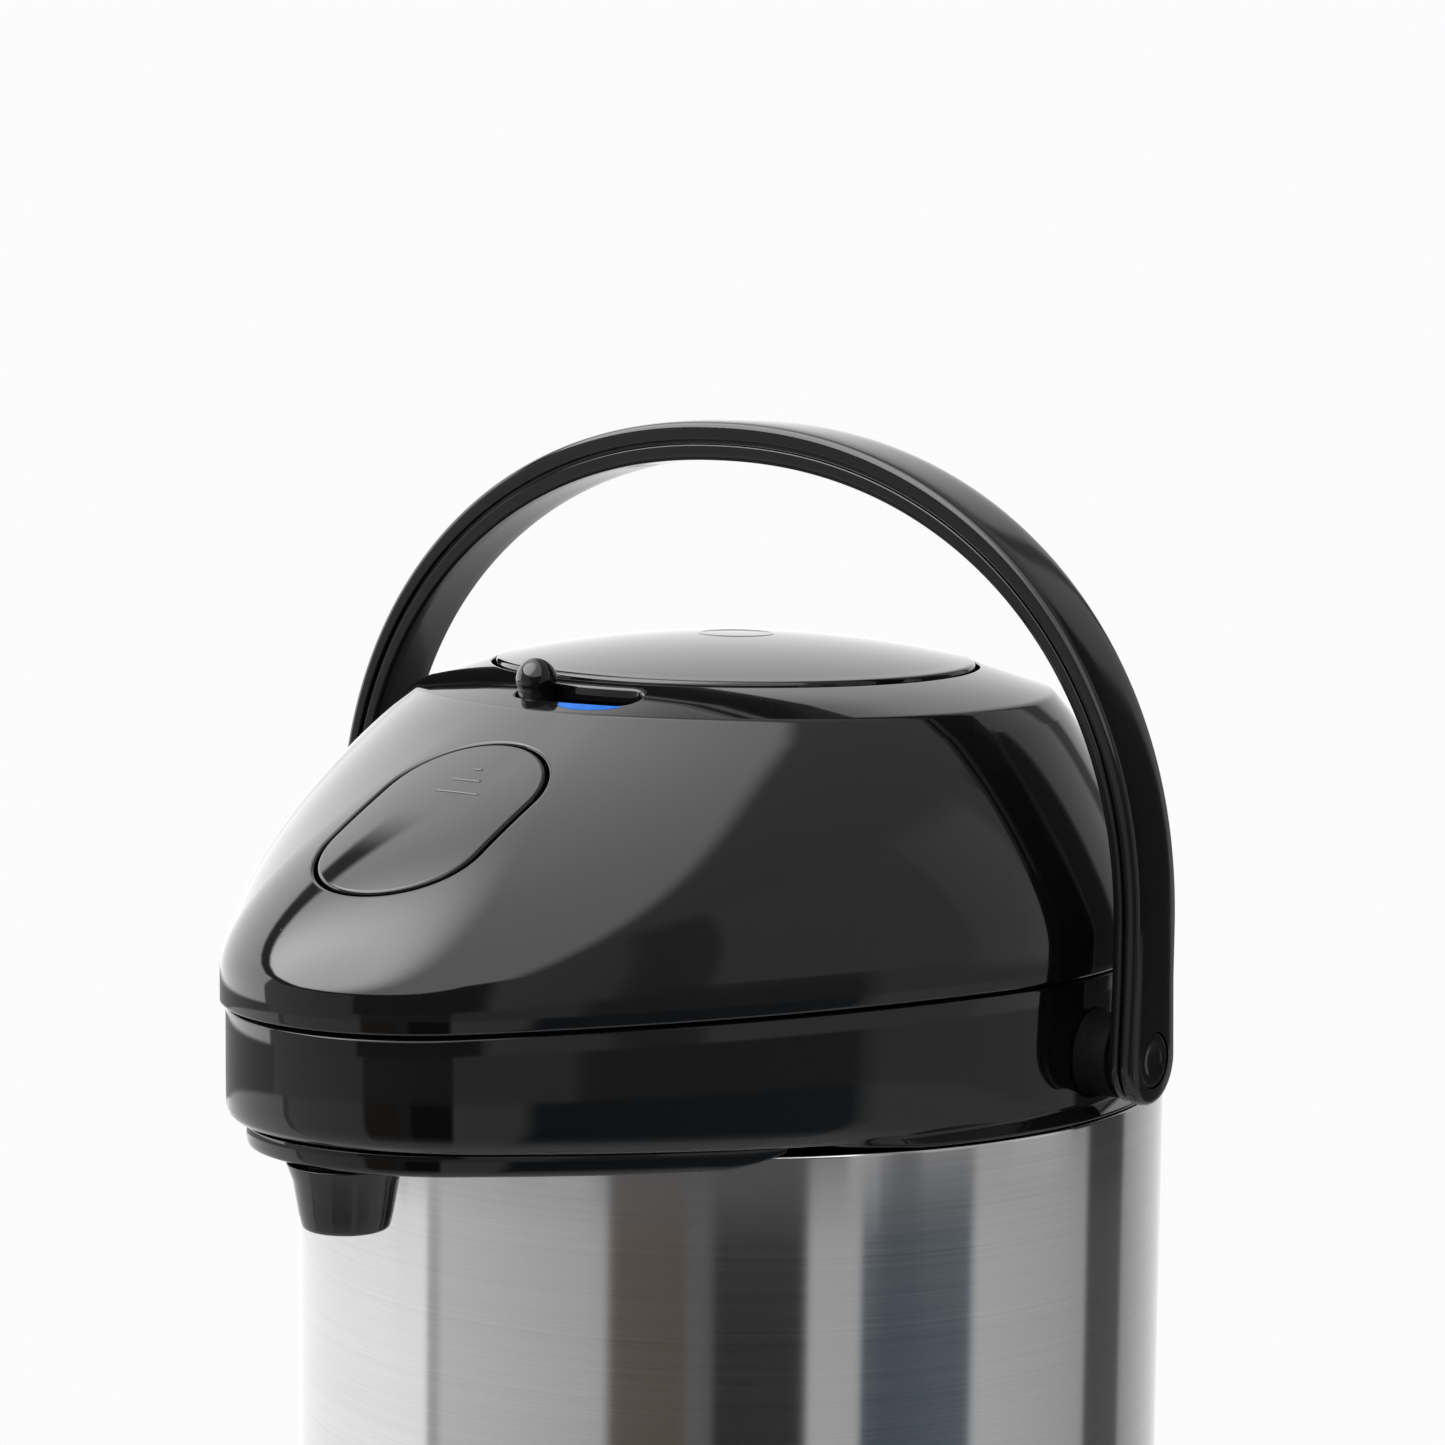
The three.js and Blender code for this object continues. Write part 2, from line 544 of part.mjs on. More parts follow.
// ---- lid ------------------------------------------------------------------------------------
const lid = new THREE.Group();
const slot = arcSlot(SLOT_IN, SLOT_OUT, SLOT_MID_DEG - SLOT_HALF_DEG, SLOT_MID_DEG + SLOT_HALF_DEG);
const markerRoom = cut(markerPrism(0.35), lidForm(0.55, 300));
const bossSpots = [50, 130, 230, 310].map((deg) => polar(66, deg));
const bosses = bossSpots.map((spot) => disc(3.2, 318, spot.y < 0 ? 354 : 346, 10, spot.x, spot.y));
const bossBores = bossSpots.map((spot) => disc(1.5, 317, 330, 8, spot.x, spot.y));
const knuckle = union(
  bar(KNUCKLE_R, -12.6, 12.6, HINGE_Y, HINGE_Z), block(-12.6, 12.6, 79.2, 86, HINGE_Z, 321),
);
const hollow = lidForm(LID_WALL, SKIRT_BOTTOM - 2, INNER_DEPTHS);
let dome = cut(lidForm(0, SKIRT_BOTTOM), hollow);
for (const boss of bosses) dome = dome.add(solid(boss));
dome = cut(
  dome.add(knuckle).subtract(markerRoom),
  disc(PLATE_HOLE_R, 340, 372, ROUND), prism(slot, 340, 372), latchPrism(0.5, -20, 20),
  bar(2.1, -30, 30, HINGE_Y, HINGE_Z, 14), ...bossBores,
);
lid.add(node('lid_dome', dome, GLOSS_BLACK));

const marker = solid(markerPrism(0)).intersect(solid(lidForm(0, 300)));
lid.add(node('lock_marker', marker.subtract(solid(lidForm(0.22, 299))), BLUE_PLASTIC));

const trayHoles = bossSpots.map((spot) => disc(1.5, 313, 320, 8, spot.x, spot.y));
lid.add(node('lid_tray', cut(
  loft([outlineRing(315, LID_WALL + 0.5), outlineRing(317.3, LID_WALL + 0.5)]),
  disc(14, 313, 320, SMALL), block(-14.5, 14.5, -122, -111, 313, 320), ...trayHoles,
), GREY_PLASTIC));
bossSpots.forEach((spot, i) => {
  const profile = [[0, 313.4], [2.8, 313.4], [2.8, 314.7], [1.2, 314.7], [1.2, 326], [0, 327]];
  const screw = turned(profile, 8).translate(spot.x, spot.y, 0);
  lid.add(node(`tray_screw_${i + 1}`, screw, BRIGHT_STEEL));
});
lid.add(node('lid_gasket', turned([
  [20.5, 313.2], [29, 313.2], [28, 314.7], [21.5, 314.7],
], 24), CLEAR_SILICONE));
lid.add(node('air_valve_flap', turned([[0, 317.6], [16, 317.6], [16, 318.6], [0, 318.8]], SMALL), RUBBER));

// ---- pump -------------------------------------------------------------------------------------
const FOLDS = 5;
const BELLOWS_LOW = 319;
const BELLOWS_TOP = 361;
const foldPoints = (shift) => {
  const points = [];
  for (let i = 0; i <= 2 * FOLDS; i += 1) {
    const z = BELLOWS_LOW + ((BELLOWS_TOP - BELLOWS_LOW) * i) / (2 * FOLDS);
    points.push([(i % 2 ? 41 : 34) - shift, z]);
  }
  return points;
};
const pump = new THREE.Group();
const folds = [...foldPoints(0), ...foldPoints(1.3).reverse()];
pump.add(node('pump_bellows', turned(folds, 22), CLEAR_SILICONE));
class Coil extends THREE.Curve {
  constructor(radius, z0, z1, turns) {
    super();
    Object.assign(this, { radius, z0, z1, turns });
  }

  getPoint(t, target = new THREE.Vector3()) {
    const a = t * this.turns * Math.PI * 2;
    const z = this.z0 + (this.z1 - this.z0) * t;
    return target.set(this.radius * Math.cos(a), this.radius * Math.sin(a), z);
  }
}
pump.add(node('pump_spring', along(new Coil(25, 320.6, 360.4, 5), 1.2, 60, 4), BRIGHT_STEEL));
lid.add(node('bellows_ring', turned([
  [42.2, 317.7], [46, 317.7], [46, 320], [42.2, 320],
], 28), GREY_PLASTIC));

function domePoints(z, reach, rise, count) {
  const points = [];
  for (let i = 0; i <= count; i += 1) {
    const r = (reach * i) / count;
    points.push([r, z + rise * (1 - (r / reach) ** 2)]);
  }
  return points;
}
const plate = new THREE.Group();
plate.add(node('push_plate', turned([
  ...domePoints(PLATE_Z + 0.1, PLATE_R - 0.6, PLATE_RISE, 7), [PLATE_R, PLATE_Z - 0.6],
  [PLATE_R, 352], [42.9, 352], [42.9, 361.6],
  ...domePoints(PLATE_Z - 3.6, 42, PLATE_RISE, 3).reverse(),
], 44), GLOSS_BLACK));

// ---- lock ring and knob ---------------------------------------------------------------------
const knobSpot = polar((SLOT_IN + SLOT_OUT) / 2, LOCK_REST_DEG);
const lock = new THREE.Group();
lock.add(node('lock_ring', turned([
  [46.6, 352], [55.6, 352], [55.6, 354], [46.6, 354],
], 32), SATIN_BLACK));
const knobProfile = [[0, 354.3], [KNOB_R, 354.3], [KNOB_R, 366]];
for (let i = 1; i <= 5; i += 1) {
  const a = (i / 5) * (Math.PI / 2);
  knobProfile.push([i === 5 ? 0 : KNOB_R * Math.cos(a), 366 + KNOB_R * Math.sin(a)]);
}
lock.add(node('lock_knob', turned(knobProfile, 18).translate(knobSpot.x, knobSpot.y, 0), SATIN_BLACK));

// ---- latch --------------------------------------------------------------------------------------
const press = new THREE.Group();
const buttonSkin = solid(latchPrism(0, -20, 20)).intersect(solid(lidForm(0, 300)));
press.add(node('latch_button', buttonSkin.subtract(solid(lidForm(2.6, 299))), GLOSS_BLACK));
const catchArms = [-1, 1].map((side) => {
  const [x0, x1] = [side * 11 - 2, side * 11 + 2];
  return union(block(x0, x1, -118.5, -115.5, 306, 322), block(x0, x1, -119.1, -116, 306, 308));
});
const lever = new THREE.Group();
const leverBar = union(
  block(-13, 13, -118.5, -115.5, 319, 323), bar(2.4, -13, 13, -114, 321, 16),
  block(-6, 6, -118.5, -115.5, 322, 325.5),
);
const leverBody = catchArms.reduce((sum, arm) => sum.add(arm), leverBar);
lever.add(node('latch_lever', cut(leverBody, bar(1.5, -20, 20, -114, 321, 14)), SATIN_BLACK));
lid.add(node('latch_axle', bar(1.2, -16, 16, -114, 321, 14), BRIGHT_STEEL));
const latchSpring = along(new Coil(4.5, 318.4, 335.5, 5), 0.6, 40, 4).translate(0, -100, 0);
press.add(node('latch_spring', latchSpring, BRIGHT_STEEL));
lid.add(node('hinge_pin', bar(1.8, -22, 22, HINGE_Y, HINGE_Z, 16), BRIGHT_STEEL));

lid.add(pump, plate, lock, press, lever);
const airpot = new THREE.Group();
airpot.add(base, pot, handle, lid);

export default airpot;
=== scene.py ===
"""Looks for the thermal coffee airpot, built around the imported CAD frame.

Shapes are worked out in millimetres in the CAD frame (+Z up, spout along -Y) and stored in metres.
Angles called theta run round the axis from the spout's direction, positive towards +X.
"""
import json
import math

import bmesh
import bpy
import numpy as np
from mathutils import Matrix, Vector


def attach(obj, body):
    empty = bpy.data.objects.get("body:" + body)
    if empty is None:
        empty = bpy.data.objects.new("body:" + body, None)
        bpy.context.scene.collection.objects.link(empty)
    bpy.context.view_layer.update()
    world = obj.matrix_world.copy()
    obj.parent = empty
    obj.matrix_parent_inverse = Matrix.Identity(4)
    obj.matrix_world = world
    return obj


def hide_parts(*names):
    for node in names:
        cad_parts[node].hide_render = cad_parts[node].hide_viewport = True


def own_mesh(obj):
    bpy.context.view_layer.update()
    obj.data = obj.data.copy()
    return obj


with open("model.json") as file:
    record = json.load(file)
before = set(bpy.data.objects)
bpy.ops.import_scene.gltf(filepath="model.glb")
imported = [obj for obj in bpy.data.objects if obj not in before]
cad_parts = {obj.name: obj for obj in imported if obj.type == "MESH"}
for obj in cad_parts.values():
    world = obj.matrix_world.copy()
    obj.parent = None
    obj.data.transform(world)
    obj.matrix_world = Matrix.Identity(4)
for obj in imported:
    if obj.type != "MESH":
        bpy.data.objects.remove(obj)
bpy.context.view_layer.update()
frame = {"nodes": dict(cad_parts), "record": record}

MM = 0.001
SHARP_ANGLE = 32        # degrees between two faces, above which their edge stays sharp
ON_SURFACE = 0.02       # how near the lid's surface a point of it lies

# ---- sizes shared with the CAD part -----------------------------------------------------
BODY_R = 82.0
JACKET_BOTTOM, JACKET_TOP, JACKET_WALL = 22.4, 288.6, 1.1
COLLAR_BOTTOM, COLLAR_TOP = 289.0, 313.8
DECK_BOTTOM, DECK_TOP = 298.6, 301.0
SKIRT_BOTTOM, SKIRT_TOP = 314.5, 320.6
BEVEL_R, BEVEL_Z = 60.0, 361.0
PLATE_Z, PLATE_R, PLATE_HOLE_R, PLATE_RISE = 366.0, 45.2, 46.0, 4.8
BEVEL_RUN, BEVEL_RISE = 15, PLATE_Z - 0.3 - BEVEL_Z
OUTLINE = (80.0, 34.5, 94.0, 268.0)     # body, nose, reach, flank
COVER = (72.0, 29.0, 95.5, 240.0)
NOSE_LIFT = 5.4                         # the collar's lower edge rises this much towards the nose's tip
LID_WALL = 2.2
NOZZLE_Y, NOZZLE_BOTTOM = -114.4, 278.4
SLOT_IN, SLOT_OUT = 48.5, 55.5
SLOT_FROM, SLOT_TO = math.radians(-9.6), math.radians(11.6)
LOCK_REST = math.radians(-9.2)
LATCH_Y, LATCH_TILT = -92.0, math.radians(26)
LATCH_LENGTH, LATCH_WIDTH = 47.4, 31.0
PIVOT_Z = 300.0
ARCH_OUT, ARCH_IN, ARCH_POWER, ARCH_MID = (91.2, 88.5), (85.7, 81.0), 2.15, 322.5
HANDLE_DEPTH, HANDLE_HALF = 5.5, 7.5      # depth of its section, and half its width
END_R = 8.2
HINGE_Y, HINGE_Z = 83.5, 311.0
HINGE_BORE, HINGE_BARREL = 2.1, 4.0
PUMP_TRAVEL, LATCH_TRAVEL = 0.030, 0.003  # metres
FLOOR_FADE = (0.22, 0.72)                 # metres from the axis, where the floor starts to fade and is gone


# ---- camera and light --------------------------------------------------------------------
CAMERA_AZIMUTH = math.radians(34.2)
CAMERA_DISTANCE, CAMERA_RISE = 0.760, 0.0736
CAMERA_YAW, CAMERA_PITCH, CAMERA_ROLL = math.radians(-0.1784), math.radians(6.44), math.radians(0.66)
CAMERA_LENS, SENSOR_WIDTH = 100.812, 36


def camera_directions():
    a = CAMERA_AZIMUTH
    away = Vector((-math.sin(a), math.cos(a), 0))
    side = Vector((math.cos(a), math.sin(a), 0))
    level = away * math.cos(CAMERA_YAW) + side * math.sin(CAMERA_YAW)
    right = level.cross(Vector((0, 0, 1)))
    forward = level * math.cos(CAMERA_PITCH) - Vector((0, 0, 1)) * math.sin(CAMERA_PITCH)
    up = right.cross(forward)
    right, up = (right * math.cos(CAMERA_ROLL) + up * math.sin(CAMERA_ROLL),
                 up * math.cos(CAMERA_ROLL) - right * math.sin(CAMERA_ROLL))
    return away, right, up, forward


def add_object(name, data):
    item = bpy.data.objects.new(name, data)
    bpy.context.scene.collection.objects.link(item)
    return item


def add_camera():
    away, right, up, forward = camera_directions()
    camera = add_object("camera", bpy.data.cameras.new("camera"))
    camera.data.sensor_width = SENSOR_WIDTH
    camera.data.lens = CAMERA_LENS
    camera.data.clip_end = 50
    spot = -away * CAMERA_DISTANCE
    spot.z = PLATE_Z * MM + CAMERA_RISE
    turn = Matrix((right, up, -forward)).transposed()
    camera.matrix_world = Matrix.Translation(spot) @ turn.to_4x4()
    bpy.context.scene.camera = camera


def link(tree, *pairs):
    for a, b in pairs:
        tree.links.new(a, b)


def add_world():
    """A studio of upright light and dark panels under a large soft box high on the left."""
    world = bpy.data.worlds.new("studio")
    bpy.context.scene.world = world
    world.use_nodes = True
    tree = world.node_tree
    tree.nodes.clear()
    new = tree.nodes.new
    direction = new("ShaderNodeTexCoord").outputs["Generated"]
    a = CAMERA_AZIMUTH
    right, near = Vector((math.cos(a), math.sin(a), 0)), Vector((math.sin(a), -math.cos(a), 0))
    up = Vector((0, 0, 1))

    def along(x, y, z):
        """How far the direction points right, towards the camera's side and up."""
        dot = new("ShaderNodeVectorMath")
        dot.operation = "DOT_PRODUCT"
        dot.inputs[1].default_value = right * x + near * y + up * z
        link(tree, (direction, dot.inputs[0]))
        return dot.outputs["Value"]

    bearing = new("ShaderNodeMath")
    bearing.operation = "ARCTAN2"
    link(tree, (along(1, 0, 0), bearing.inputs[0]), (along(0, 1, 0), bearing.inputs[1]))
    share = new("ShaderNodeMapRange")
    share.inputs["From Min"].default_value = -math.pi
    share.inputs["From Max"].default_value = math.pi
    link(tree, (bearing.outputs[0], share.inputs["Value"]))

    def panels(runs):
        """Runs of (start, end, colour at start, colour at end), with 1 degree between them."""
        stops = []
        for start, end, first, last in runs:
            stops += [(start + 0.5, first), (end - 0.5, last)]
        ramp = new("ShaderNodeValToRGB")
        link(tree, (share.outputs["Result"], ramp.inputs["Fac"]))
        elements = ramp.color_ramp.elements
        while len(elements) > 1:
            elements.remove(elements[0])
        for i, (degrees, colour) in enumerate(stops):
            spot = (degrees + 180) / 360
            element = elements[0] if i == 0 else elements.new(spot)
            element.position = spot
            rgb = colour if isinstance(colour, tuple) else (colour,) * 3
            element.color = (*rgb, 1)
        return ramp.outputs["Color"]

    def mixed(value, start, end, first, last):
        """First colour where the value is below start, last colour where it is past end."""
        blend = new("ShaderNodeMapRange")
        blend.interpolation_type = "SMOOTHSTEP"
        blend.inputs["From Min"].default_value = start
        blend.inputs["From Max"].default_value = end
        mix = new("ShaderNodeMix")
        mix.data_type = "RGBA"
        link(tree, (value, blend.inputs["Value"]), (blend.outputs["Result"], mix.inputs["Factor"]))
        for colour, socket in ((first, mix.inputs["A"]), (last, mix.inputs["B"])):
            if isinstance(colour, tuple):
                socket.default_value = (*colour, 1)
            else:
                link(tree, (colour, socket))
        return mix.outputs["Result"]

    height = along(0, 0, 1)
    sides = panels(SIDE_PANELS)
    soft_box = mixed(along(*BOX_HEART), *EDGE_TO_HEART, BOX_EDGE_LIGHT, BOX_HEART_LIGHT)
    above_edge = along(*BOX_LOWER_EDGE)
    rim = mixed(along(*RIM_END), *PAST_RIM_END, sides, BOX_RIM)
    left = mixed(above_edge, *SIDES_TO_RIM, sides, rim)
    left = mixed(above_edge, *RIM_TO_BOX, left, soft_box)
    right_side = mixed(height, *SIDES_TO_ABOVE, sides, ABOVE_RIGHT)
    upper = mixed(along(*BOX_LIMIT), *PAST_LIMIT, right_side, left)
    lower = mixed(height, *LOW_TO_MIDDLE, panels(LOW_PANELS), panels(MIDDLE_PANELS))
    dome = mixed(height, *MIDDLE_TO_SIDES, lower, upper)
    studio, plain = new("ShaderNodeBackground"), new("ShaderNodeBackground")
    plain.inputs["Color"].default_value = (*BACKDROP, 1)
    path, either = new("ShaderNodeLightPath"), new("ShaderNodeMixShader")
    out = new("ShaderNodeOutputWorld")
    link(tree, (dome, studio.inputs["Color"]), (path.outputs["Is Camera Ray"], either.inputs[0]),
         (studio.outputs[0], either.inputs[1]), (plain.outputs[0], either.inputs[2]),
         (either.outputs[0], out.inputs["Surface"]))


# Panels are (start, end, light at start, light at end). Their bearings are in degrees, counted from
# the camera's side and positive to its right.
LOW_PANELS = (
    (-180, -85, 1.2, 1.12), (-85, -81, 0.42, 0.46), (-81, -31, 0.68, 0.50),
    (-31, -11, (0.13, 0.105, 0.085), (0.115, 0.09, 0.07)), (-11, -4, 0.13, 0.12), (-4, 20, 0.02, 0.025),
    (20, 34.5, 0.54, 0.50), (34.5, 66, (0.06, 0.08, 0.105), (0.10, 0.125, 0.15)), (66, 107.5, 0.55, 0.42),
    (107.5, 126, 0.09, 0.11), (126, 180, 0.35, 1.1),
)
MIDDLE_PANELS = (
    (-180, -92, 0.40, 0.40), (-92, -31, 0.58, 0.40), (-31, 20, 0.15, 0.12), (20, 39, 0.37, 0.37),
    (39, 66, 0.17, 0.17), (66, 107, 0.42, 0.40), (107, 126, 0.06, 0.06), (126, 180, 0.35, 1.1),
)
SIDE_PANELS = (
    (-180, -165, 1.3, 1.35), (-165, -95, 1.8, 2.9), (-95, -60, 0.60, 0.50), (-60, -35, 0.45, 0.40),
    (-35, 30, 0.10, 0.10), (30, 42, 0.50, 0.42), (42, 50, 0.22, 0.25), (50, 77, 0.50, 0.48),
    (77, 93, 0.60, 0.72), (93, 99, 0.52, 0.48), (99, 124, 0.05, 0.06), (124, 142, 0.45, 0.55),
    (142, 149, 0.18, 0.18), (149, 180, 0.65, 1.3),
)
BACKDROP = (0.97, 0.97, 0.975)
ABOVE_RIGHT = (0.46, 0.46, 0.465)
BOX_RIM = (0.12, 0.12, 0.12)
BOX_EDGE_LIGHT, BOX_HEART_LIGHT = (2.0, 2.0, 2.0), (7.2, 7.2, 7.2)
# Directions are (right, towards the camera's side, up).
BOX_HEART, BOX_LIMIT = (-0.66, 0.17, 0.73), (-0.871, 0.426, 0.246)
BOX_LOWER_EDGE, RIM_END = (-0.102, 0.284, 1.0), (-0.883, 0.469, 0)
# Where one zone ends and the next begins, along the direction or the height that parts them.
LOW_TO_MIDDLE, MIDDLE_TO_SIDES, SIDES_TO_ABOVE = (-0.222, -0.213), (-0.170, -0.150), (0.55, 0.70)
SIDES_TO_RIM, RIM_TO_BOX, PAST_RIM_END = (0.43, 0.46), (0.52, 0.55), (-0.06, 0.03)
PAST_LIMIT, EDGE_TO_HEART = (-0.025, 0.025), (0.66, 0.95)


def add_area(name, spot, aim, size, power):
    """A soft lamp that doesn't show in reflections."""
    lamp = bpy.data.lights.new(name, "AREA")
    lamp.shape = "RECTANGLE"
    lamp.size, lamp.size_y = size
    lamp.energy = power
    item = add_object(name, lamp)
    item.location = spot
    item.visible_glossy = False
    direction = Vector(aim) - Vector(spot)
    item.rotation_euler = direction.to_track_quat("-Z", "Y").to_euler()


# ---- meshes --------------------------------------------------------------------------------
def shade(mesh, sharp=SHARP_ANGLE):
    mesh.shade_smooth()
    mesh.set_sharp_from_angle(angle=math.radians(sharp))


def finish_mesh(name, vertices, faces, sharp=SHARP_ANGLE):
    mesh = bpy.data.meshes.new(name)
    mesh.from_pydata((np.asarray(vertices) * MM).tolist(), [], faces)
    work = bmesh.new()
    work.from_mesh(mesh)
    bmesh.ops.remove_doubles(work, verts=work.verts, dist=2e-6)
    bmesh.ops.dissolve_degenerate(work, edges=work.edges, dist=1e-6)
    bmesh.ops.recalc_face_normals(work, faces=work.faces)
    work.to_mesh(mesh)
    work.free()
    shade(mesh, sharp)
    return add_object(name, mesh)


def grid_faces(rows, columns, wrap_rows, wrap_columns, start=0):
    faces = []
    for i in range(rows if wrap_rows else rows - 1):
        for j in range(columns if wrap_columns else columns - 1):
            a, b = start + i * columns, start + (i + 1) % rows * columns
            k = (j + 1) % columns
            faces.append((a + j, a + k, b + k, b + j))
    return faces


def skin(name, points, wrap_rows=True, wrap_columns=True, caps=False, sharp=SHARP_ANGLE):
    """A mesh over a grid of points; caps closes the first and last row."""
    rows, columns = points.shape[:2]
    faces = grid_faces(rows, columns, wrap_rows, wrap_columns)
    if caps:
        faces += [tuple(range(columns)), tuple(range((rows - 1) * columns, rows * columns))]
    return finish_mesh(name, points.reshape(-1, 3), faces, sharp)


def rounded(corners, closed=True, steps=5):
    """Corners are (a, b, fillet). A fillet of 0 keeps the point, and a doubled corner isn't rounded."""
    out = []
    count = len(corners)
    for i, (a, b, fillet) in enumerate(corners):
        here = np.array((a, b), float)
        if fillet <= 0 or (not closed and i in (0, count - 1)):
            out.append(here)
            continue
        before = np.array(corners[i - 1][:2], float) - here
        after = np.array(corners[(i + 1) % count][:2], float) - here
        lengths = np.linalg.norm(before), np.linalg.norm(after)
        if min(lengths) < 1e-9:
            out += [here] * (steps + 1)
            continue
        reach = min(fillet, 0.48 * lengths[0], 0.48 * lengths[1])
        start = here + before / lengths[0] * reach
        end = here + after / lengths[1] * reach
        for t in np.linspace(0, 1, steps + 1):
            out.append((1 - t) ** 2 * start + 2 * t * (1 - t) * here + t * t * end)
    return np.array(out)


def lathe(name, corners, segments=192, x=0.0, y=0.0, closed=True, steps=5):
    """Corners are (radius, z, fillet), turned about an upright line."""
    profile = rounded(corners, closed, steps)
    turn = np.linspace(0, 2 * math.pi, segments, endpoint=False)
    points = np.empty((segments, len(profile), 3))
    points[:, :, 0] = x + np.outer(np.cos(turn), profile[:, 0])
    points[:, :, 1] = y + np.outer(np.sin(turn), profile[:, 0])
    points[:, :, 2] = profile[:, 1]
    return skin(name, points, True, closed)


def lathe_x(name, corners, y, z, side=1, segments=96, closed=True):
    """Corners are (radius, x, fillet), turned about a line along X."""
    profile = rounded(corners, closed)
    turn = np.linspace(0, 2 * math.pi, segments, endpoint=False)
    points = np.empty((segments, len(profile), 3))
    points[:, :, 0] = profile[:, 1] * side
    points[:, :, 1] = y + np.outer(np.cos(turn), profile[:, 0])
    points[:, :, 2] = z + np.outer(np.sin(turn), profile[:, 0])
    return skin(name, points, True, closed)


def drop(item):
    data = item.data
    bpy.data.objects.remove(item)
    bpy.data.meshes.remove(data)


def joined(name, *items):
    """One mesh from several closed shells."""
    work = bmesh.new()
    for item in items:
        work.from_mesh(item.data)
    mesh = bpy.data.meshes.new(name)
    work.to_mesh(mesh)
    work.free()
    for item in items:
        drop(item)
    shade(mesh)
    return add_object(name, mesh)


def subtract(item, *tools):
    for tool in tools:
        cut = item.modifiers.new("cut", "BOOLEAN")
        cut.operation, cut.solver, cut.object = "DIFFERENCE", "EXACT", tool
    graph = bpy.context.evaluated_depsgraph_get()
    mesh = bpy.data.meshes.new_from_object(item.evaluated_get(graph))
    item.modifiers.clear()
    item.data = mesh
    shade(mesh)
    for tool in tools:
        drop(tool)
    return item


def block(name, x, y, z, fillet=0.4):
    """A box with rounded edges, between the (low, high) pairs x, y and z."""
    (x0, x1), (y0, y1), (z0, z1) = x, y, z
    face = rounded([(y0, z0, fillet), (y1, z0, fillet), (y1, z1, fillet), (y0, z1, fillet)], steps=3)
    rows = []
    cut = fillet * 0.6
    for x_at, shrink in ((x0, cut), (x0 + cut, 0), (x1 - cut, 0), (x1, cut)):
        centre = np.array(((y0 + y1) / 2, (z0 + z1) / 2))
        scale = 1 - 2 * shrink / np.array((y1 - y0, z1 - z0))
        ring = (face - centre) * scale + centre
        rows.append(np.column_stack((np.full(len(ring), x_at), ring)))
    return skin(name, np.array(rows), False, True, caps=True)


# ---- plan outline and lid surface -----------------------------------------------------------
def outline_arcs(size):
    """Centres of the flank's and the nose's arcs, and the angles where body and nose meet the flank."""
    body, nose, reach, flank = size
    a, b = flank - body, flank - nose
    y = -(a * a - b * b + reach * reach) / (2 * reach)
    centre = np.array((-math.sqrt(a * a - y * y), y))
    nose_centre = np.array((0.0, -reach))
    body_end = -centre / np.linalg.norm(centre) * body
    out = nose_centre - centre
    nose_end = nose_centre + out / np.linalg.norm(out) * nose
    return centre, nose_centre, math.atan2(body_end[0], -body_end[1]), math.atan2(nose_end[0], -nose_end[1])


def outline_radius(theta, size=OUTLINE):
    """Distance from the axis to the outline, at an angle from the spout's direction."""
    body, nose, _, flank = size
    centre, nose_centre, body_angle, nose_angle = outline_arcs(size)
    angle = np.abs(np.arctan2(np.sin(theta), np.cos(theta)))
    aim = np.stack((np.sin(angle), -np.cos(angle)), axis=-1)

    def reach_of(point, radius):
        b = aim @ point
        return b + np.sqrt(np.maximum(b * b - point @ point + radius * radius, 0))
    flanked = np.where(angle >= nose_angle, reach_of(centre, flank), reach_of(nose_centre, nose))
    return np.where(angle >= body_angle, body, flanked)


def even_angles(count):
    """Angles that step evenly along the outline."""
    fine = np.linspace(-math.pi, math.pi, 6001)
    r = outline_radius(fine)
    x, y = r * np.sin(fine), -r * np.cos(fine)
    length = np.concatenate(([0], np.cumsum(np.hypot(np.diff(x), np.diff(y)))))
    return np.interp(np.linspace(0, length[-1], count, endpoint=False), length, fine)


ANGLES = even_angles(264)


def lid_radius(theta, depth):
    """The lid's flank, from the bevel's edge (depth 0) down to the skirt (depth 1)."""
    front = (0.5 + 0.5 * np.cos(theta)) ** 1.5
    full = 1 + 1.5 * front
    bulge = full - np.maximum(full - 1.55, 0) * front ** 8
    shoulder = 1.25 + (0.92 - 1.25) * front
    share = (1 - (1 - depth) ** bulge) ** (1 / shoulder)
    return BEVEL_R + (outline_radius(theta) - BEVEL_R) * share


def depth_of(z):
    return np.clip((BEVEL_Z - z) / (BEVEL_Z - SKIRT_TOP), 0, 1)


def outside_lid(points):
    """Positive outside the lid's flank, negative inside."""
    x, y, z = points[..., 0], points[..., 1], points[..., 2]
    return np.hypot(x, y) - lid_radius(np.arctan2(x, -y), depth_of(z))


def lid_normals(points, step=0.05):
    gradient = np.empty_like(points)
    for axis in range(3):
        shift = np.zeros(3)
        shift[axis] = step
        gradient[..., axis] = outside_lid(points + shift) - outside_lid(points - shift)
    return gradient / np.linalg.norm(gradient, axis=-1, keepdims=True)


def around(profile_at, angles=ANGLES):
    """Rings of points from a profile [(radius, z)] worked out at every angle."""
    rows = []
    for theta in angles:
        radius, z = profile_at(theta).T
        rows.append(np.column_stack((radius * math.sin(theta), -radius * math.cos(theta), z)))
    return np.array(rows)


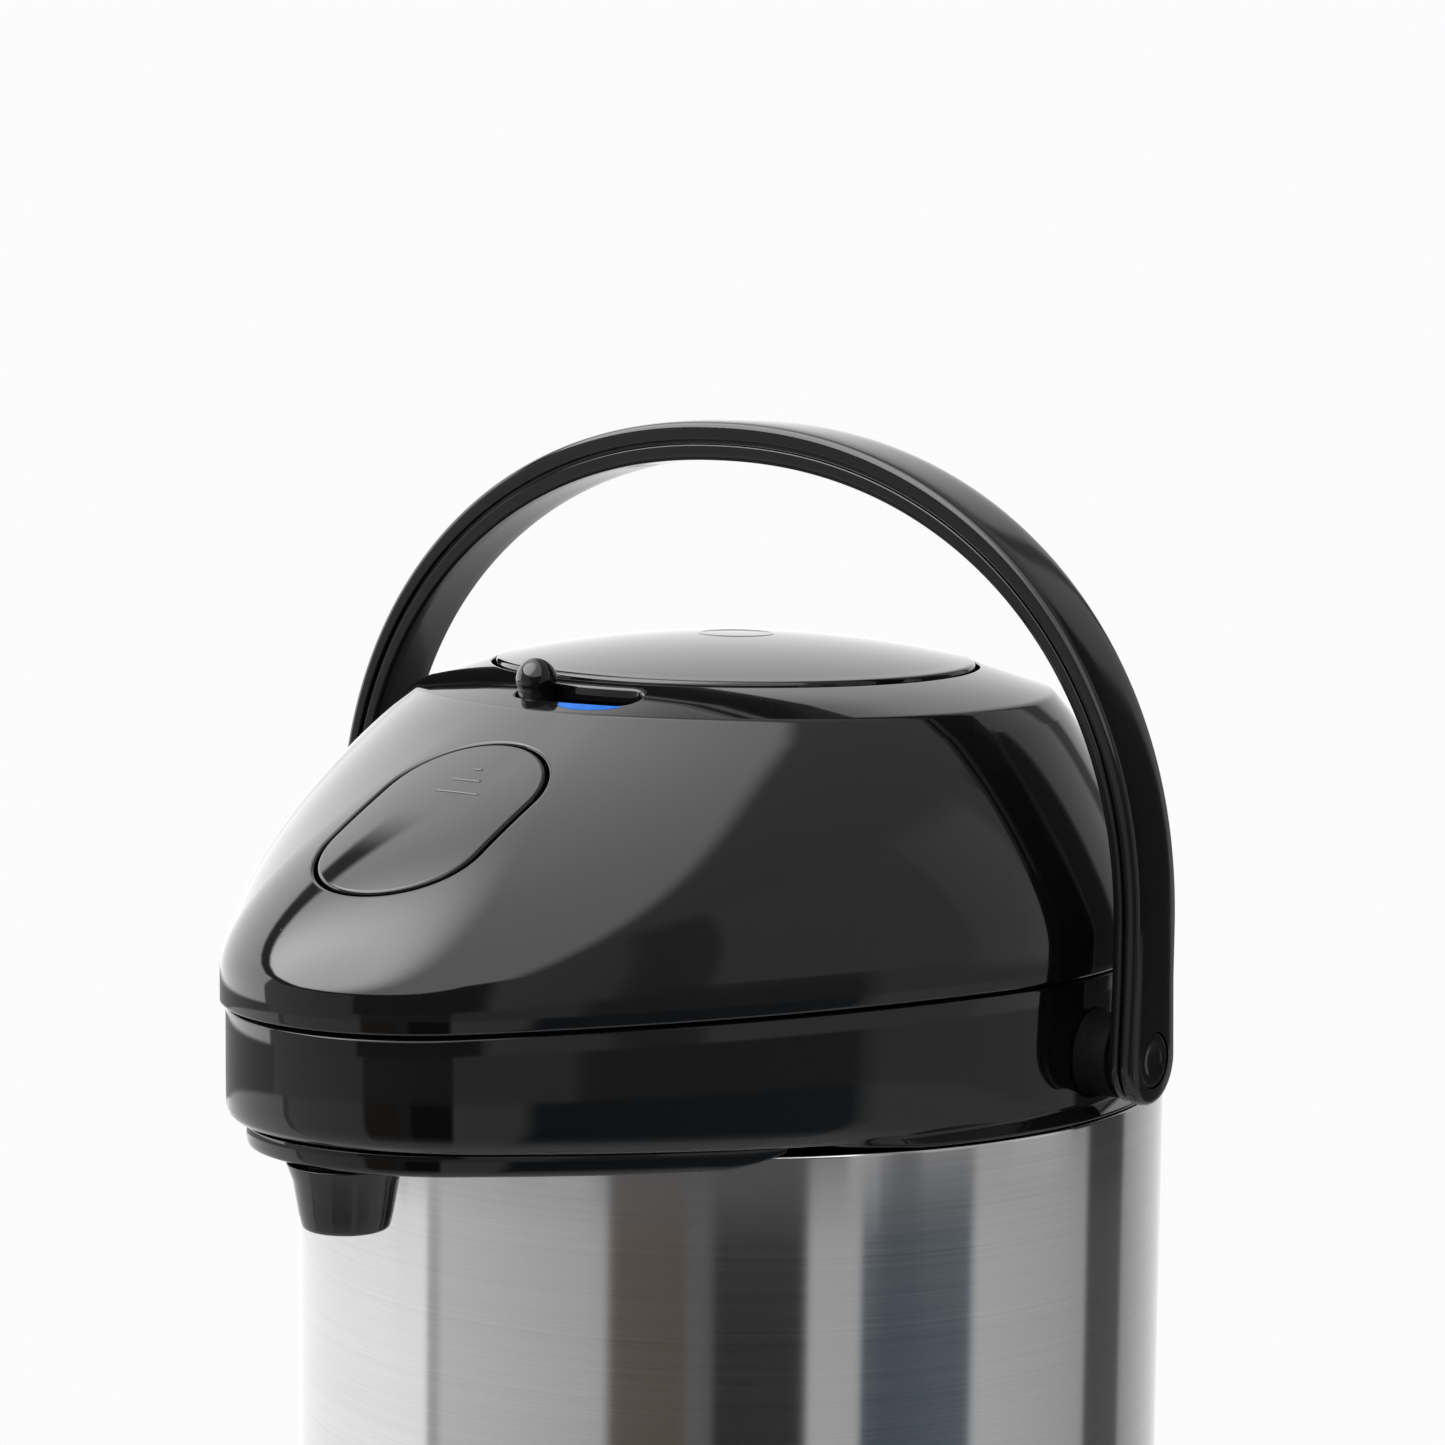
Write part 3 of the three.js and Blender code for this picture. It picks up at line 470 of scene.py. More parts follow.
# ---- materials --------------------------------------------------------------------------------
class Finish:
    """A Principled material whose colour, roughness and bump vary by procedural textures."""

    def __init__(self, name, **values):
        self.material = bpy.data.materials.new(name)
        self.material.use_nodes = True
        self.tree = self.material.node_tree
        self.shader = self.tree.nodes["Principled BSDF"]
        for key, value in values.items():
            self.shader.inputs[key.replace("_", " ")].default_value = value
        self.coords = self.tree.nodes.new("ShaderNodeTexCoord").outputs["Object"]
        self.height = None

    def noise(self, scale, detail=3.0, stretch=(1, 1, 1), roughness=0.5):
        mapping = self.tree.nodes.new("ShaderNodeMapping")
        mapping.inputs["Scale"].default_value = stretch
        node = self.tree.nodes.new("ShaderNodeTexNoise")
        node.inputs["Scale"].default_value = scale
        node.inputs["Detail"].default_value = detail
        node.inputs["Roughness"].default_value = roughness
        link(self.tree, (self.coords, mapping.inputs["Vector"]), (mapping.outputs[0], node.inputs["Vector"]))
        return node.outputs["Fac"]

    def specks(self, scale, threshold):
        node = self.tree.nodes.new("ShaderNodeTexVoronoi")
        node.inputs["Scale"].default_value = scale
        link(self.tree, (self.coords, node.inputs["Vector"]))
        spread = self.tree.nodes.new("ShaderNodeMapRange")
        spread.inputs["From Min"].default_value = threshold
        spread.inputs["From Max"].default_value = threshold * 0.6
        link(self.tree, (node.outputs["Distance"], spread.inputs["Value"]))
        return spread.outputs["Result"]

    def ramp(self, source, low, high, start=0.3, end=0.7):
        node = self.tree.nodes.new("ShaderNodeValToRGB")
        first, last = node.color_ramp.elements
        first.position, last.position = start, end
        first.color, last.color = (*low, 1), (*high, 1)
        link(self.tree, (source, node.inputs["Fac"]))
        return node.outputs["Color"]

    def span(self, source, low, high, start=0.3, end=0.7):
        node = self.tree.nodes.new("ShaderNodeMapRange")
        for key, value in (("From Min", start), ("From Max", end), ("To Min", low), ("To Max", high)):
            node.inputs[key].default_value = value
        link(self.tree, (source, node.inputs["Value"]))
        return node.outputs["Result"]

    def combine(self, a, b):
        node = self.tree.nodes.new("ShaderNodeMath")
        node.operation = "ADD"
        link(self.tree, (a, node.inputs[0]), (b, node.inputs[1]))
        return node.outputs[0]

    def colour(self, output):
        link(self.tree, (output, self.shader.inputs["Base Color"]))

    def roughness(self, output):
        link(self.tree, (output, self.shader.inputs["Roughness"]))

    def bump(self, source, distance, strength=1.0):
        node = self.tree.nodes.new("ShaderNodeBump")
        node.inputs["Distance"].default_value = distance
        node.inputs["Strength"].default_value = strength
        link(self.tree, (source, node.inputs["Height"]))
        if self.height is not None:
            link(self.tree, (self.height, node.inputs["Normal"]))
        self.height = node.outputs["Normal"]
        link(self.tree, (self.height, self.shader.inputs["Normal"]))


def grey(value):
    return (value, value, value * 1.02)


def gloss_black():
    finish = Finish("gloss_black", IOR=1.52)
    finish.colour(finish.ramp(finish.noise(9, 4), grey(0.0018), grey(0.0034)))
    smears = finish.span(finish.noise(26, 5, (1, 1, 0.5)), 0.030, 0.060)
    finish.roughness(finish.combine(smears, finish.span(finish.specks(420, 0.09), 0, 0.12, 0, 1)))
    finish.bump(finish.noise(22, 1), 0.00006, 0.5)
    finish.bump(finish.noise(1900, 2), 0.0000006)
    return finish.material


def satin_black():
    finish = Finish("satin_black", IOR=1.5, Specular_IOR_Level=0.45)
    finish.colour(finish.ramp(finish.noise(14, 4), grey(0.0022), grey(0.0042)))
    finish.roughness(finish.span(finish.noise(45, 5), 0.07, 0.12))
    finish.bump(finish.noise(40, 1), 0.00004, 0.5)
    finish.bump(finish.noise(2600, 3), 0.0000015)
    return finish.material


def grey_plastic():
    finish = Finish("grey_plastic", IOR=1.48)
    finish.colour(finish.ramp(finish.noise(30, 4), (0.20, 0.205, 0.21), (0.27, 0.275, 0.28)))
    finish.roughness(finish.span(finish.noise(120, 4), 0.42, 0.58))
    finish.bump(finish.noise(1500, 3), 0.000012)
    return finish.material


def blue_plastic():
    finish = Finish("blue_plastic", IOR=1.5, Specular_IOR_Level=0.06)
    finish.colour(finish.ramp(finish.noise(400, 3), (0.001, 0.060, 0.26), (0.003, 0.074, 0.31)))
    finish.roughness(finish.span(finish.noise(900, 3), 0.16, 0.26))
    finish.bump(finish.noise(3000, 2), 0.000002)
    return finish.material


def silicone():
    finish = Finish("silicone", IOR=1.42)
    finish.colour(finish.ramp(finish.noise(50, 4), (0.66, 0.68, 0.69), (0.78, 0.80, 0.81)))
    finish.roughness(finish.span(finish.noise(90, 4), 0.32, 0.48))
    finish.bump(finish.noise(700, 3), 0.000010)
    return finish.material


def rubber():
    finish = Finish("rubber", IOR=1.5, Specular_IOR_Level=0.05)
    finish.colour(finish.ramp(finish.noise(60, 5), (0.0022, 0.0022, 0.0023), (0.0055, 0.0055, 0.0057)))
    finish.roughness(finish.span(finish.noise(200, 4), 0.6, 0.82))
    finish.bump(finish.noise(1800, 4), 0.00003)
    return finish.material


def brushed_steel():
    finish = Finish("brushed_steel", Metallic=1.0, Anisotropic=0.7, Anisotropic_Rotation=0.25)
    fine = finish.noise(1.0, 5, (9, 9, 4200), 0.62)
    broad = finish.noise(1.0, 3, (5, 5, 420), 0.55)
    lines = finish.combine(finish.span(fine, 0, 0.75, 0.25, 0.75), finish.span(broad, 0, 0.25, 0.25, 0.75))
    finish.colour(finish.ramp(lines, (0.60, 0.60, 0.605), (0.65, 0.65, 0.655), 0.25, 0.75))
    finish.roughness(finish.span(lines, 0.105, 0.13, 0.2, 0.8))
    finish.bump(fine, 0.0000007)
    tangent = finish.tree.nodes.new("ShaderNodeTangent")
    tangent.direction_type, tangent.axis = "RADIAL", "Z"
    link(finish.tree, (tangent.outputs[0], finish.shader.inputs["Tangent"]))
    return finish.material


def bright_steel():
    finish = Finish("bright_steel", Metallic=1.0)
    finish.colour(finish.ramp(finish.noise(60, 4), (0.60, 0.60, 0.61), (0.70, 0.70, 0.71)))
    finish.roughness(finish.span(finish.noise(260, 5), 0.10, 0.22))
    finish.bump(finish.noise(1500, 3), 0.000002)
    return finish.material


MATERIALS = {make.__name__: make() for make in (
    gloss_black, satin_black, grey_plastic, blue_plastic, silicone, rubber, brushed_steel, bright_steel)}
NODE_SLOTS = {part["node"]: part["material_slot"] for part in frame["record"]["subparts"]}
NODE_BODY = {node: body for body, nodes in frame["record"]["behaviour"]["bodies"].items() for node in nodes}


def add_detail(item, node, slot=None):
    """A piece that rides with the node's body and takes its finish, without standing for it."""
    name = slot or NODE_SLOTS[node]
    item.data.materials.clear()
    item.data.materials.append(MATERIALS[name])
    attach(item, NODE_BODY[node])


def place(item, node, *others, slot=None):
    """A piece that rides with the node's body, takes its finish and stands for it."""
    add_detail(item, node, slot)
    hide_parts(node, *others)


# ---- steel body and base ------------------------------------------------------------------------
def build_body():
    inside, under = BODY_R - JACKET_WALL, JACKET_TOP - JACKET_WALL
    crown_from, mouth, middle = BODY_R - 14, 33, 150
    place(lathe("jacket", [
        (BODY_R, JACKET_BOTTOM, 0.25), (BODY_R, JACKET_BOTTOM + 12, 0), (BODY_R, middle, 0),
        (BODY_R, JACKET_TOP - 16, 0), (BODY_R, JACKET_TOP, 0.6), (crown_from, JACKET_TOP, 0),
        (mouth, JACKET_TOP, 0.3), (mouth, under, 0.3), (crown_from, under, 0), (inside, under, 0.3),
        (inside, middle, 0), (inside, JACKET_BOTTOM, 0.25),
    ], 288, steps=10), "steel_jacket", "jacket_crown")
    place(lathe("base_shell", [
        (5.3, 10.2, 0.2), (40, 10.2, 0), (72, 10.2, 0), (78.6, 10.2, 1.2), (81, 12.6, 1.2), (81, 16.4, 0),
        (80.5, 16.7, 0.1), (80.5, 17.3, 0.1), (81, 17.6, 0), (81, 22.1, 0.5), (80.3, 22.1, 0.1),
        (80.3, 34, 0.3), (77.8, 34, 0.3), (77.8, 14, 1.0), (5.3, 14, 0.2),
    ], 224), "base_cup")
    place(lathe("turntable", [
        (5.3, 4.6, 0.1), (10, 4.6, 0.2), (10, 2.3, 0.3), (50, 2.3, 0), (74, 2.3, 0.9), (75.5, 3.8, 0.9),
        (75.5, 6, 0.5), (67.4, 6, 0.2), (67.4, 5, 0.2), (60.6, 5, 0.2), (60.6, 6, 0.2), (5.3, 6, 0.2),
    ], 224), "swivel_plate")
    grooves = []
    for radius in (66, 60, 54, 48, 42, 36):
        grooves += [(radius + out, z, 0.15) for out, z in ((1.1, 0), (0.8, 0.5), (-0.8, 0.5), (-1.1, 0))]
    place(lathe("foot_mat", [
        (0, 2, 0), (72, 2, 0.4), (72, 0, 0.7), *grooves, (0, 0, 0),
    ], 192, closed=False, steps=3), "foot_pad")


# ---- collar, spout and nozzle --------------------------------------------------------------------
def nose_share(theta):
    """1 around the nose, falling to 0 at the sides."""
    share = np.clip((85 - abs(math.degrees(theta))) / 35, 0, 1)
    return share * share * (3 - 2 * share)


def nose_lift(theta):
    """How far the lower edges of the collar and the cover have risen at an angle."""
    nose_reach = OUTLINE[1] + OUTLINE[2] - BODY_R
    beyond = max(float(outline_radius(theta)) - BODY_R, 0)
    return NOSE_LIFT * (beyond / nose_reach) ** 0.7


def barrel(name, first, last, side=1):
    """A knuckle of the lid's hinge, between two places along its line."""
    return lathe_x(name, [(HINGE_BORE, first, 0.3), (HINGE_BARREL, first, 0.5), (HINGE_BARREL, last, 0.5),
                          (HINGE_BORE, last, 0.3)], HINGE_Y, HINGE_Z, side, 64)


def build_collar():
    mouth, lip = 27.4, BODY_R + 0.35

    def profile(theta):
        r, lift, tuck = float(outline_radius(theta)), nose_lift(theta), nose_share(theta)
        out, inner = r - 1.2, r - 4.2
        floor, ledge = min(75.5, inner - 1), 291.6 + 0.75 * lift
        return rounded([
            (mouth, DECK_TOP, 0.3), (inner - 6, DECK_TOP, 0), (inner, DECK_TOP, 0.8),
            (inner, COLLAR_TOP - 3, 0), (inner, COLLAR_TOP, 0.6), (out, COLLAR_TOP, 0.8),
            (out, COLLAR_TOP - 4, 0), (out, 303, 0), (out - 0.05 * tuck, 294 + lift, 0),
            (out - 0.2 * tuck, 291.9 + lift, 0), (out - 0.7 * tuck, 290.5 + lift, 0.5),
            (max(out - 1.8 * tuck, lip), 289.5 + lift, 0.3),
            (max(out - 3.6 * tuck - 0.15, lip - 0.1), COLLAR_BOTTOM + lift, 0.3),
            (floor, COLLAR_BOTTOM + lift, 0.2), (floor, ledge, 0.3), (inner - 1, ledge, 0),
            (inner - 1, DECK_BOTTOM, 0.5), (mouth, DECK_BOTTOM, 0.3),
        ], steps=4)
    parts = [skin("collar_shell", around(profile))]
    for side in (-1, 1):
        ends = sorted((side * 13, side * 21))
        parts.append(barrel("knuckle", 13, 21, side))
        parts.append(block("knuckle_pad", ends, (74.5, HINGE_Y - 2.4), (306.6, HINGE_Z), 0.3))
        catch = (side * 11 - 2.5, side * 11 + 2.5)
        parts.append(block("catch", catch, (-123.4, -119.4), (308.6, 311.6), 0.4))
    place(joined("collar", *parts), "shoulder_collar")


def build_spout():
    limit = 0.999 * next(t for t in np.linspace(0.2, 1.5, 2000) if outline_radius(t, COVER) < BODY_R + 0.9)

    def profile(theta):
        r = float(outline_radius(theta, COVER))
        inner = BODY_R + 0.6
        share = min((r - inner) / 7, 1)
        top = 288.7 + nose_lift(theta)
        bottom = top - 0.4 - 3.5 * share * (2 - share)
        side = top + 0.6 * (bottom - top)
        return rounded([
            (inner, top, 0.1), (r, top, 0.2), (r, side, 0), (r - 0.25 * share, bottom + 0.5 * share, 0.5),
            (r - 1.3 * share, bottom, 0.6), (inner, bottom, 0.1),
        ], steps=4)
    rows = around(profile, np.linspace(-limit, limit, 150))
    place(skin("spout_shell", rows, False, True, caps=True), "spout_cover")
    tip = NOZZLE_BOTTOM
    place(lathe("nozzle", [
        (5.2, tip + 0.2, 0.4), (7.3, tip, 1.3), (8.0, tip + 3.0, 0), (9.0, tip + 8.6, 0),
        (10.1, tip + 11.4, 0.3), (7.6, tip + 11.4, 0), (7.6, tip + 14.4, 0.3), (5.2, tip + 14.4, 0.3),
    ], 128, y=NOZZLE_Y, steps=7), "nozzle_tip")


# ---- handle ----------------------------------------------------------------------------------------
def arch(half, rise, t):
    """Points (x, z) of the handle's arch, from the right end (t 0) to the left end (t pi)."""
    x = np.sign(np.cos(t)) * np.abs(np.cos(t)) ** (2 / ARCH_POWER)
    return np.stack((half * x, ARCH_MID + rise * np.abs(np.sin(t)) ** (2 / ARCH_POWER)), axis=-1)


def handle_section():
    """Half of the handle's section, from the middle of its outer face to that of its inner face."""
    return rounded([
        (HANDLE_DEPTH, 0, 0), (5.49, 2.4, 0), (5.43, 4.6, 0), (5.2, HANDLE_HALF, 1.5),
        (2.75, HANDLE_HALF, 0.45), (2.75, 6.35, 0.16), (2.2, 6.35, 0.16), (2.2, 7.1, 0.8), (0, 7.1, 1.3),
        (0, 3.5, 0), (0, 0, 0),
    ], closed=False)


def build_handle():
    half = handle_section()
    whole = np.concatenate((half, (half * (1, -1))[-2:0:-1]))
    t = np.linspace(0, math.pi, 181)
    outer, inner = arch(*ARCH_OUT, t), arch(*ARCH_IN, t)
    leg = np.linspace(PIVOT_Z, ARCH_MID, 9)[:-1]
    ends = [np.column_stack((np.full(len(leg), side * x), leg)) for side, x in
            ((1, ARCH_OUT[0]), (1, ARCH_IN[0]), (-1, ARCH_OUT[0]), (-1, ARCH_IN[0]))]
    outer = np.concatenate((ends[0], outer, ends[2][::-1]))
    inner = np.concatenate((ends[1], inner, ends[3][::-1]))
    grow = np.interp(np.minimum(outer[:, 1], ARCH_MID), (PIVOT_Z, PIVOT_Z + 14), (END_R / HANDLE_HALF, 1.0))
    rows = []
    for a, b, wide in zip(outer, inner, grow):
        spot = b + whole[:, :1] / HANDLE_DEPTH * (a - b)
        rows.append(np.column_stack((spot[:, 0], whole[:, 1] * wide, spot[:, 1])))
    band = np.array(rows)
    vertices = [band.reshape(-1, 3)]
    faces = grid_faces(len(band), len(whole), False, True)
    start = band.shape[0] * band.shape[1]
    for side in (1, -1):
        cap = []
        for turn in np.linspace(0, math.pi, 41):
            x = side * (ARCH_IN[0] + half[:, 0] / HANDLE_DEPTH * (ARCH_OUT[0] - ARCH_IN[0]))
            rho = half[:, 1] * END_R / HANDLE_HALF
            cap.append(np.column_stack((x, rho * math.cos(turn), PIVOT_Z - rho * math.sin(turn))))
        cap = np.array(cap)
        vertices.append(cap.reshape(-1, 3))
        faces += grid_faces(cap.shape[0], cap.shape[1], False, False, start)
        start += cap.shape[0] * cap.shape[1]
    handle = finish_mesh("bail", np.concatenate(vertices), faces)
    tools = [lathe_x("bore", [(0, 88.4, 0), (5.1, 88.4, 0.3), (5.1, 93, 0), (0, 93, 0)],
                     0, PIVOT_Z, side, 72, closed=False) for side in (1, -1)]
    place(subtract(handle, *tools), "bail_handle")
    for name, side in (("left", -1), ("right", 1)):
        place(lathe_x(f"pivot_washer_{name}", [
            (3.3, 79.0, 0.2), (8.2, 79.0, 0), (7.6, 80.2, 1.0), (7.4, 84.9, 0.5), (6.2, 84.9, 0.2),
            (5.9, 85.3, 0.15), (3.3, 85.3, 0.2),
        ], 0, PIVOT_Z, side), f"pivot_boss_{name}", slot="rubber")
        place(lathe_x(f"pivot_cap_{name}", [
            (0, 73, 0), (3, 73, 0.4), (3, 88.8, 0), (4.95, 88.8, 0.2), (4.95, 90.9, 0.35), (3.6, 90.95, 0),
            (2.4, 90.8, 0.4), (0, 90.7, 0),
        ], 0, PIVOT_Z, side, closed=False), f"pivot_pin_{name}")


# ---- lid -------------------------------------------------------------------------------------------
def cone_z(radius):
    """Height of the bevel between the flank and the push plate."""
    return BEVEL_Z + (BEVEL_R - radius) * BEVEL_RISE / BEVEL_RUN


def lid_front_height(y):
    """Height of the lid's flank in the middle of its front, found by halving."""
    low, high = 0.0, 1.0
    for _ in range(40):
        middle = (low + high) / 2
        if lid_radius(0.0, middle) < -y:
            low = middle
        else:
            high = middle
    return BEVEL_Z + (SKIRT_TOP - BEVEL_Z) * low


LATCH_HEIGHT = (lid_front_height(LATCH_Y - 20) + lid_front_height(LATCH_Y + 20)) / 2
LATCH_CENTRE = np.array((0, LATCH_Y, LATCH_HEIGHT))
ALONG = np.array((0, math.cos(LATCH_TILT), math.sin(LATCH_TILT)))
OUT = np.array((0, -math.sin(LATCH_TILT), math.cos(LATCH_TILT)))


def stadium(grow):
    """The latch opening's edge, moved outwards, in its own plane."""
    radius, half = LATCH_WIDTH / 2 + grow, (LATCH_LENGTH - LATCH_WIDTH) / 2
    points = []
    for end in (1, -1):
        first = 0 if end > 0 else math.pi
        for a in np.linspace(first, first + math.pi, 49):
            points.append((radius * math.cos(a), end * half + radius * math.sin(a)))
        for v in np.linspace(half, -half, 14)[1:-1]:
            points.append((-end * radius, end * v))
    return np.array(points)


def on_latch(flat, sink=0.0):
    """Points of the latch's plane carried out to the lid's surface, then sunk below it."""
    base = LATCH_CENTRE + flat[:, :1] * np.array((1, 0, 0)) + flat[:, 1:] * ALONG
    low, high = np.full(len(base), -16.0), np.full(len(base), 14.0)
    for _ in range(42):
        middle = (low + high) / 2
        inside = outside_lid(base + middle[:, None] * OUT) < 0
        low, high = np.where(inside, middle, low), np.where(inside, high, middle)
    return base + (low - sink)[:, None] * OUT


def slot_edge(grow):
    """The lock slot's edge in plan, moved outwards."""
    middle, half = (SLOT_IN + SLOT_OUT) / 2, (SLOT_OUT - SLOT_IN) / 2 + grow

    def polar(radius, angle):
        return np.array((radius * math.sin(angle), -radius * math.cos(angle)))
    points = [polar(middle + half, a) for a in np.linspace(SLOT_FROM, SLOT_TO, 30)]
    head, tail = polar(middle, SLOT_TO), polar(middle, SLOT_FROM)
    for a in np.linspace(0, math.pi, 26)[1:-1]:
        points.append(head + half * np.array((math.sin(SLOT_TO + a), -math.cos(SLOT_TO + a))))
    points += [polar(middle - half, a) for a in np.linspace(SLOT_TO, SLOT_FROM, 30)]
    for a in np.linspace(0, math.pi, 26)[1:-1]:
        points.append(tail + half * np.array((-math.sin(SLOT_FROM + a), math.cos(SLOT_FROM + a))))
    return np.array(points)


def on_bevel(flat, sink=0.0):
    """Points in plan lifted to the bevel's surface, then sunk below it."""
    return np.column_stack((flat, cone_z(np.hypot(flat[:, 0], flat[:, 1])) - sink))


def lip(name, edge, surface, gap, fillet, depth):
    """A rounded edge round an opening, from the surface down into its wall."""
    rows = []
    for turn in np.linspace(0, math.pi / 2, 7):
        rows.append(surface(edge(gap + fillet * (1 - math.sin(turn))), fillet * (1 - math.cos(turn))))
    rows += [surface(edge(gap), depth * 0.6), surface(edge(gap), depth)]
    rows += [surface(edge(gap + fillet), depth), surface(edge(gap + fillet), depth * 0.3)]
    return skin(name, np.array(rows), True, True, sharp=50)


def opening_tool(name, edge, surface, gap, above, below):
    """The solid that cuts an opening, from above the surface to below it."""
    rows = [surface(edge(gap), -above), surface(edge(gap), below)]
    return skin(name, np.array(rows), False, True, caps=True)


LATCH_GAP, LATCH_FILLET = 0.5, 0.75
SLOT_FILLET = 0.4


def mesh_spots(mesh):
    """Where the mesh's vertices are, in millimetres."""
    spots = np.empty(len(mesh.vertices) * 3)
    mesh.vertices.foreach_get("co", spots)
    return spots.reshape(-1, 3) / MM


def set_normals(mesh, normals, chosen, faces):
    """Gives the chosen vertices their normals on these faces. All others keep the mesh's own."""
    loops = np.zeros((len(mesh.loops), 3))
    for face in faces:
        for loop, vertex in zip(face.loop_indices, face.vertices):
            if chosen[vertex]:
                loops[loop] = normals[vertex]
    mesh.normals_split_custom_set(loops.tolist())


def keep_surface_normals(mesh):
    """Gives the lid's flank the exact normals of its surface, so its reflections run clean."""
    spots = mesh_spots(mesh)
    height = spots[:, 2]
    on_flank = (height < BEVEL_Z - 1.8) & (height > SKIRT_TOP - 0.01)
    on_flank &= np.abs(outside_lid(spots)) < ON_SURFACE
    normals = lid_normals(np.where(on_flank[:, None], spots, spots[0]))
    faces = [face for face in mesh.polygons if on_flank[list(face.vertices)].all()
             and np.dot(face.normal, normals[face.vertices[0]]) > 0.9]
    set_normals(mesh, normals, height > SKIRT_TOP + 0.01, faces)


def build_lid():
    depths = 1 - np.linspace(0, 1, 27)[:-1] ** 1.15
    depths = depths[depths > 0.045]
    inner_depths = np.linspace(0.04, 1, 12)

    def profile(theta):
        r = float(outline_radius(theta))
        corners = [(r - LID_WALL, SKIRT_BOTTOM, 0.4), (r, SKIRT_BOTTOM, 0.55), (r, SKIRT_BOTTOM + 3, 0)]
        for depth in depths:
            corners.append((float(lid_radius(theta, depth)), BEVEL_Z + (SKIRT_TOP - BEVEL_Z) * depth, 0))
        corners += [(BEVEL_R, BEVEL_Z, 0.75), (54, cone_z(54), 0),
                    (PLATE_HOLE_R, cone_z(PLATE_HOLE_R), 0.5), (PLATE_HOLE_R, 362.2, 0.2),
                    (BEVEL_R - 2, BEVEL_Z - LID_WALL, 0.5)]
        for depth in inner_depths:
            z = BEVEL_Z - LID_WALL + (SKIRT_TOP - BEVEL_Z + LID_WALL) * depth
            corners.append((float(lid_radius(theta, depth)) - LID_WALL, z, 0))
        return rounded(corners, steps=4)
    dome = skin("lid_shell", around(profile))
    tools = [opening_tool("latch_tool", stadium, on_latch, LATCH_GAP + LATCH_FILLET, 6, 14),
             opening_tool("slot_tool", slot_edge, on_bevel, SLOT_FILLET, 5, 9)]
    dome = subtract(dome, *tools)
    keep_surface_normals(dome.data)
    place(dome, "lid_dome")
    add_detail(lip("latch_lip", stadium, on_latch, LATCH_GAP, LATCH_FILLET, 3.0), "lid_dome")
    add_detail(lip("slot_lip", slot_edge, on_bevel, 0.0, SLOT_FILLET, 2.6), "lid_dome")
    web = block("web", (-12.4, 12.4), (76.5, 82.5), (HINGE_Z + 1.5, 320), 0.6)
    add_detail(joined("lid_knuckle", barrel("barrel", -12.6, 12.6), web), "lid_dome")
    rod = [(0, -22, 0), (1.8, -22, 0.4), (1.8, 22, 0.4), (0, 22, 0)]
    place(lathe_x("hinge_rod", rod, HINGE_Y, HINGE_Z, segments=48, closed=False), "hinge_pin")


def build_marker():
    """The blue crescent along the slot's outer edge."""
    start, end = math.radians(0.2), math.radians(13.2)
    rows = []
    for share in np.linspace(0, 1, 41):
        angle = start + (end - start) * share
        near = SLOT_OUT + 0.42
        far = near + 0.08 + 2.25 * (1 - (2 * share ** 0.8 - 1) ** 2) ** 0.62
        radii = np.linspace(near, far, 7)
        top = np.column_stack((radii * math.sin(angle), -radii * math.cos(angle), cone_z(radii) + 0.05))
        bottom = top[::-1] - (0, 0, 0.8)
        rows.append(np.concatenate((top, bottom)))
    place(skin("slot_crescent", np.array(rows), False, True, caps=True), "lock_marker")


def build_button():
    """The latch button, and the three raised lines on it."""
    rows = []
    fillet, edge = 0.6, -0.1
    for share in np.linspace(0, 1, 15):
        rows.append(on_latch(stadium(edge - fillet) * max(share, 1e-4)))
    for turn in np.linspace(0, math.pi / 2, 7)[1:]:
        rows.append(on_latch(stadium(edge - fillet * (1 - math.sin(turn))), fillet * (1 - math.cos(turn))))
    rows += [on_latch(stadium(edge), 2.0), on_latch(stadium(edge), 4.2), on_latch(stadium(edge - 1.2), 4.4)]
    rows.append(on_latch(stadium(edge - 1.2) * 1e-4, 4.4))
    button = skin("latch_press_pad", np.array(rows), False, True, caps=True)
    spots = mesh_spots(button.data)
    on_flank = np.abs(outside_lid(spots)) < ON_SURFACE
    faces = [face for face in button.data.polygons
             if on_flank[list(face.vertices)].all() and face.normal.z > 0.2]
    set_normals(button.data, lid_normals(spots), on_flank, faces)
    place(button, "latch_button")
    marks = ((-85.7, -4.2, 5.8), (-82.1, -3.1, 3.3), (-78.8, -1.1, 1.1))
    ridges = []
    for y, x0, x1 in marks:
        v = (y - LATCH_Y) / math.cos(LATCH_TILT)
        rings = []
        for x in np.linspace(x0, x1, 24):
            close = min(x - x0, x1 - x, 0.4) / 0.4
            width = 0.30 * math.sqrt(max(1 - (1 - close) ** 2, 0.02))
            ring = []
            for a in np.linspace(0, 2 * math.pi, 12, endpoint=False):
                flat = np.array([(x, v + width * math.cos(a))])
                ring.append(on_latch(flat, 0.05 - 0.8 * width * math.sin(a))[0])
            rings.append(ring)
        ridges.append(skin("ridge", np.array(rings), False, True, caps=True))
    add_detail(joined("press_ridges", *ridges), "latch_button")


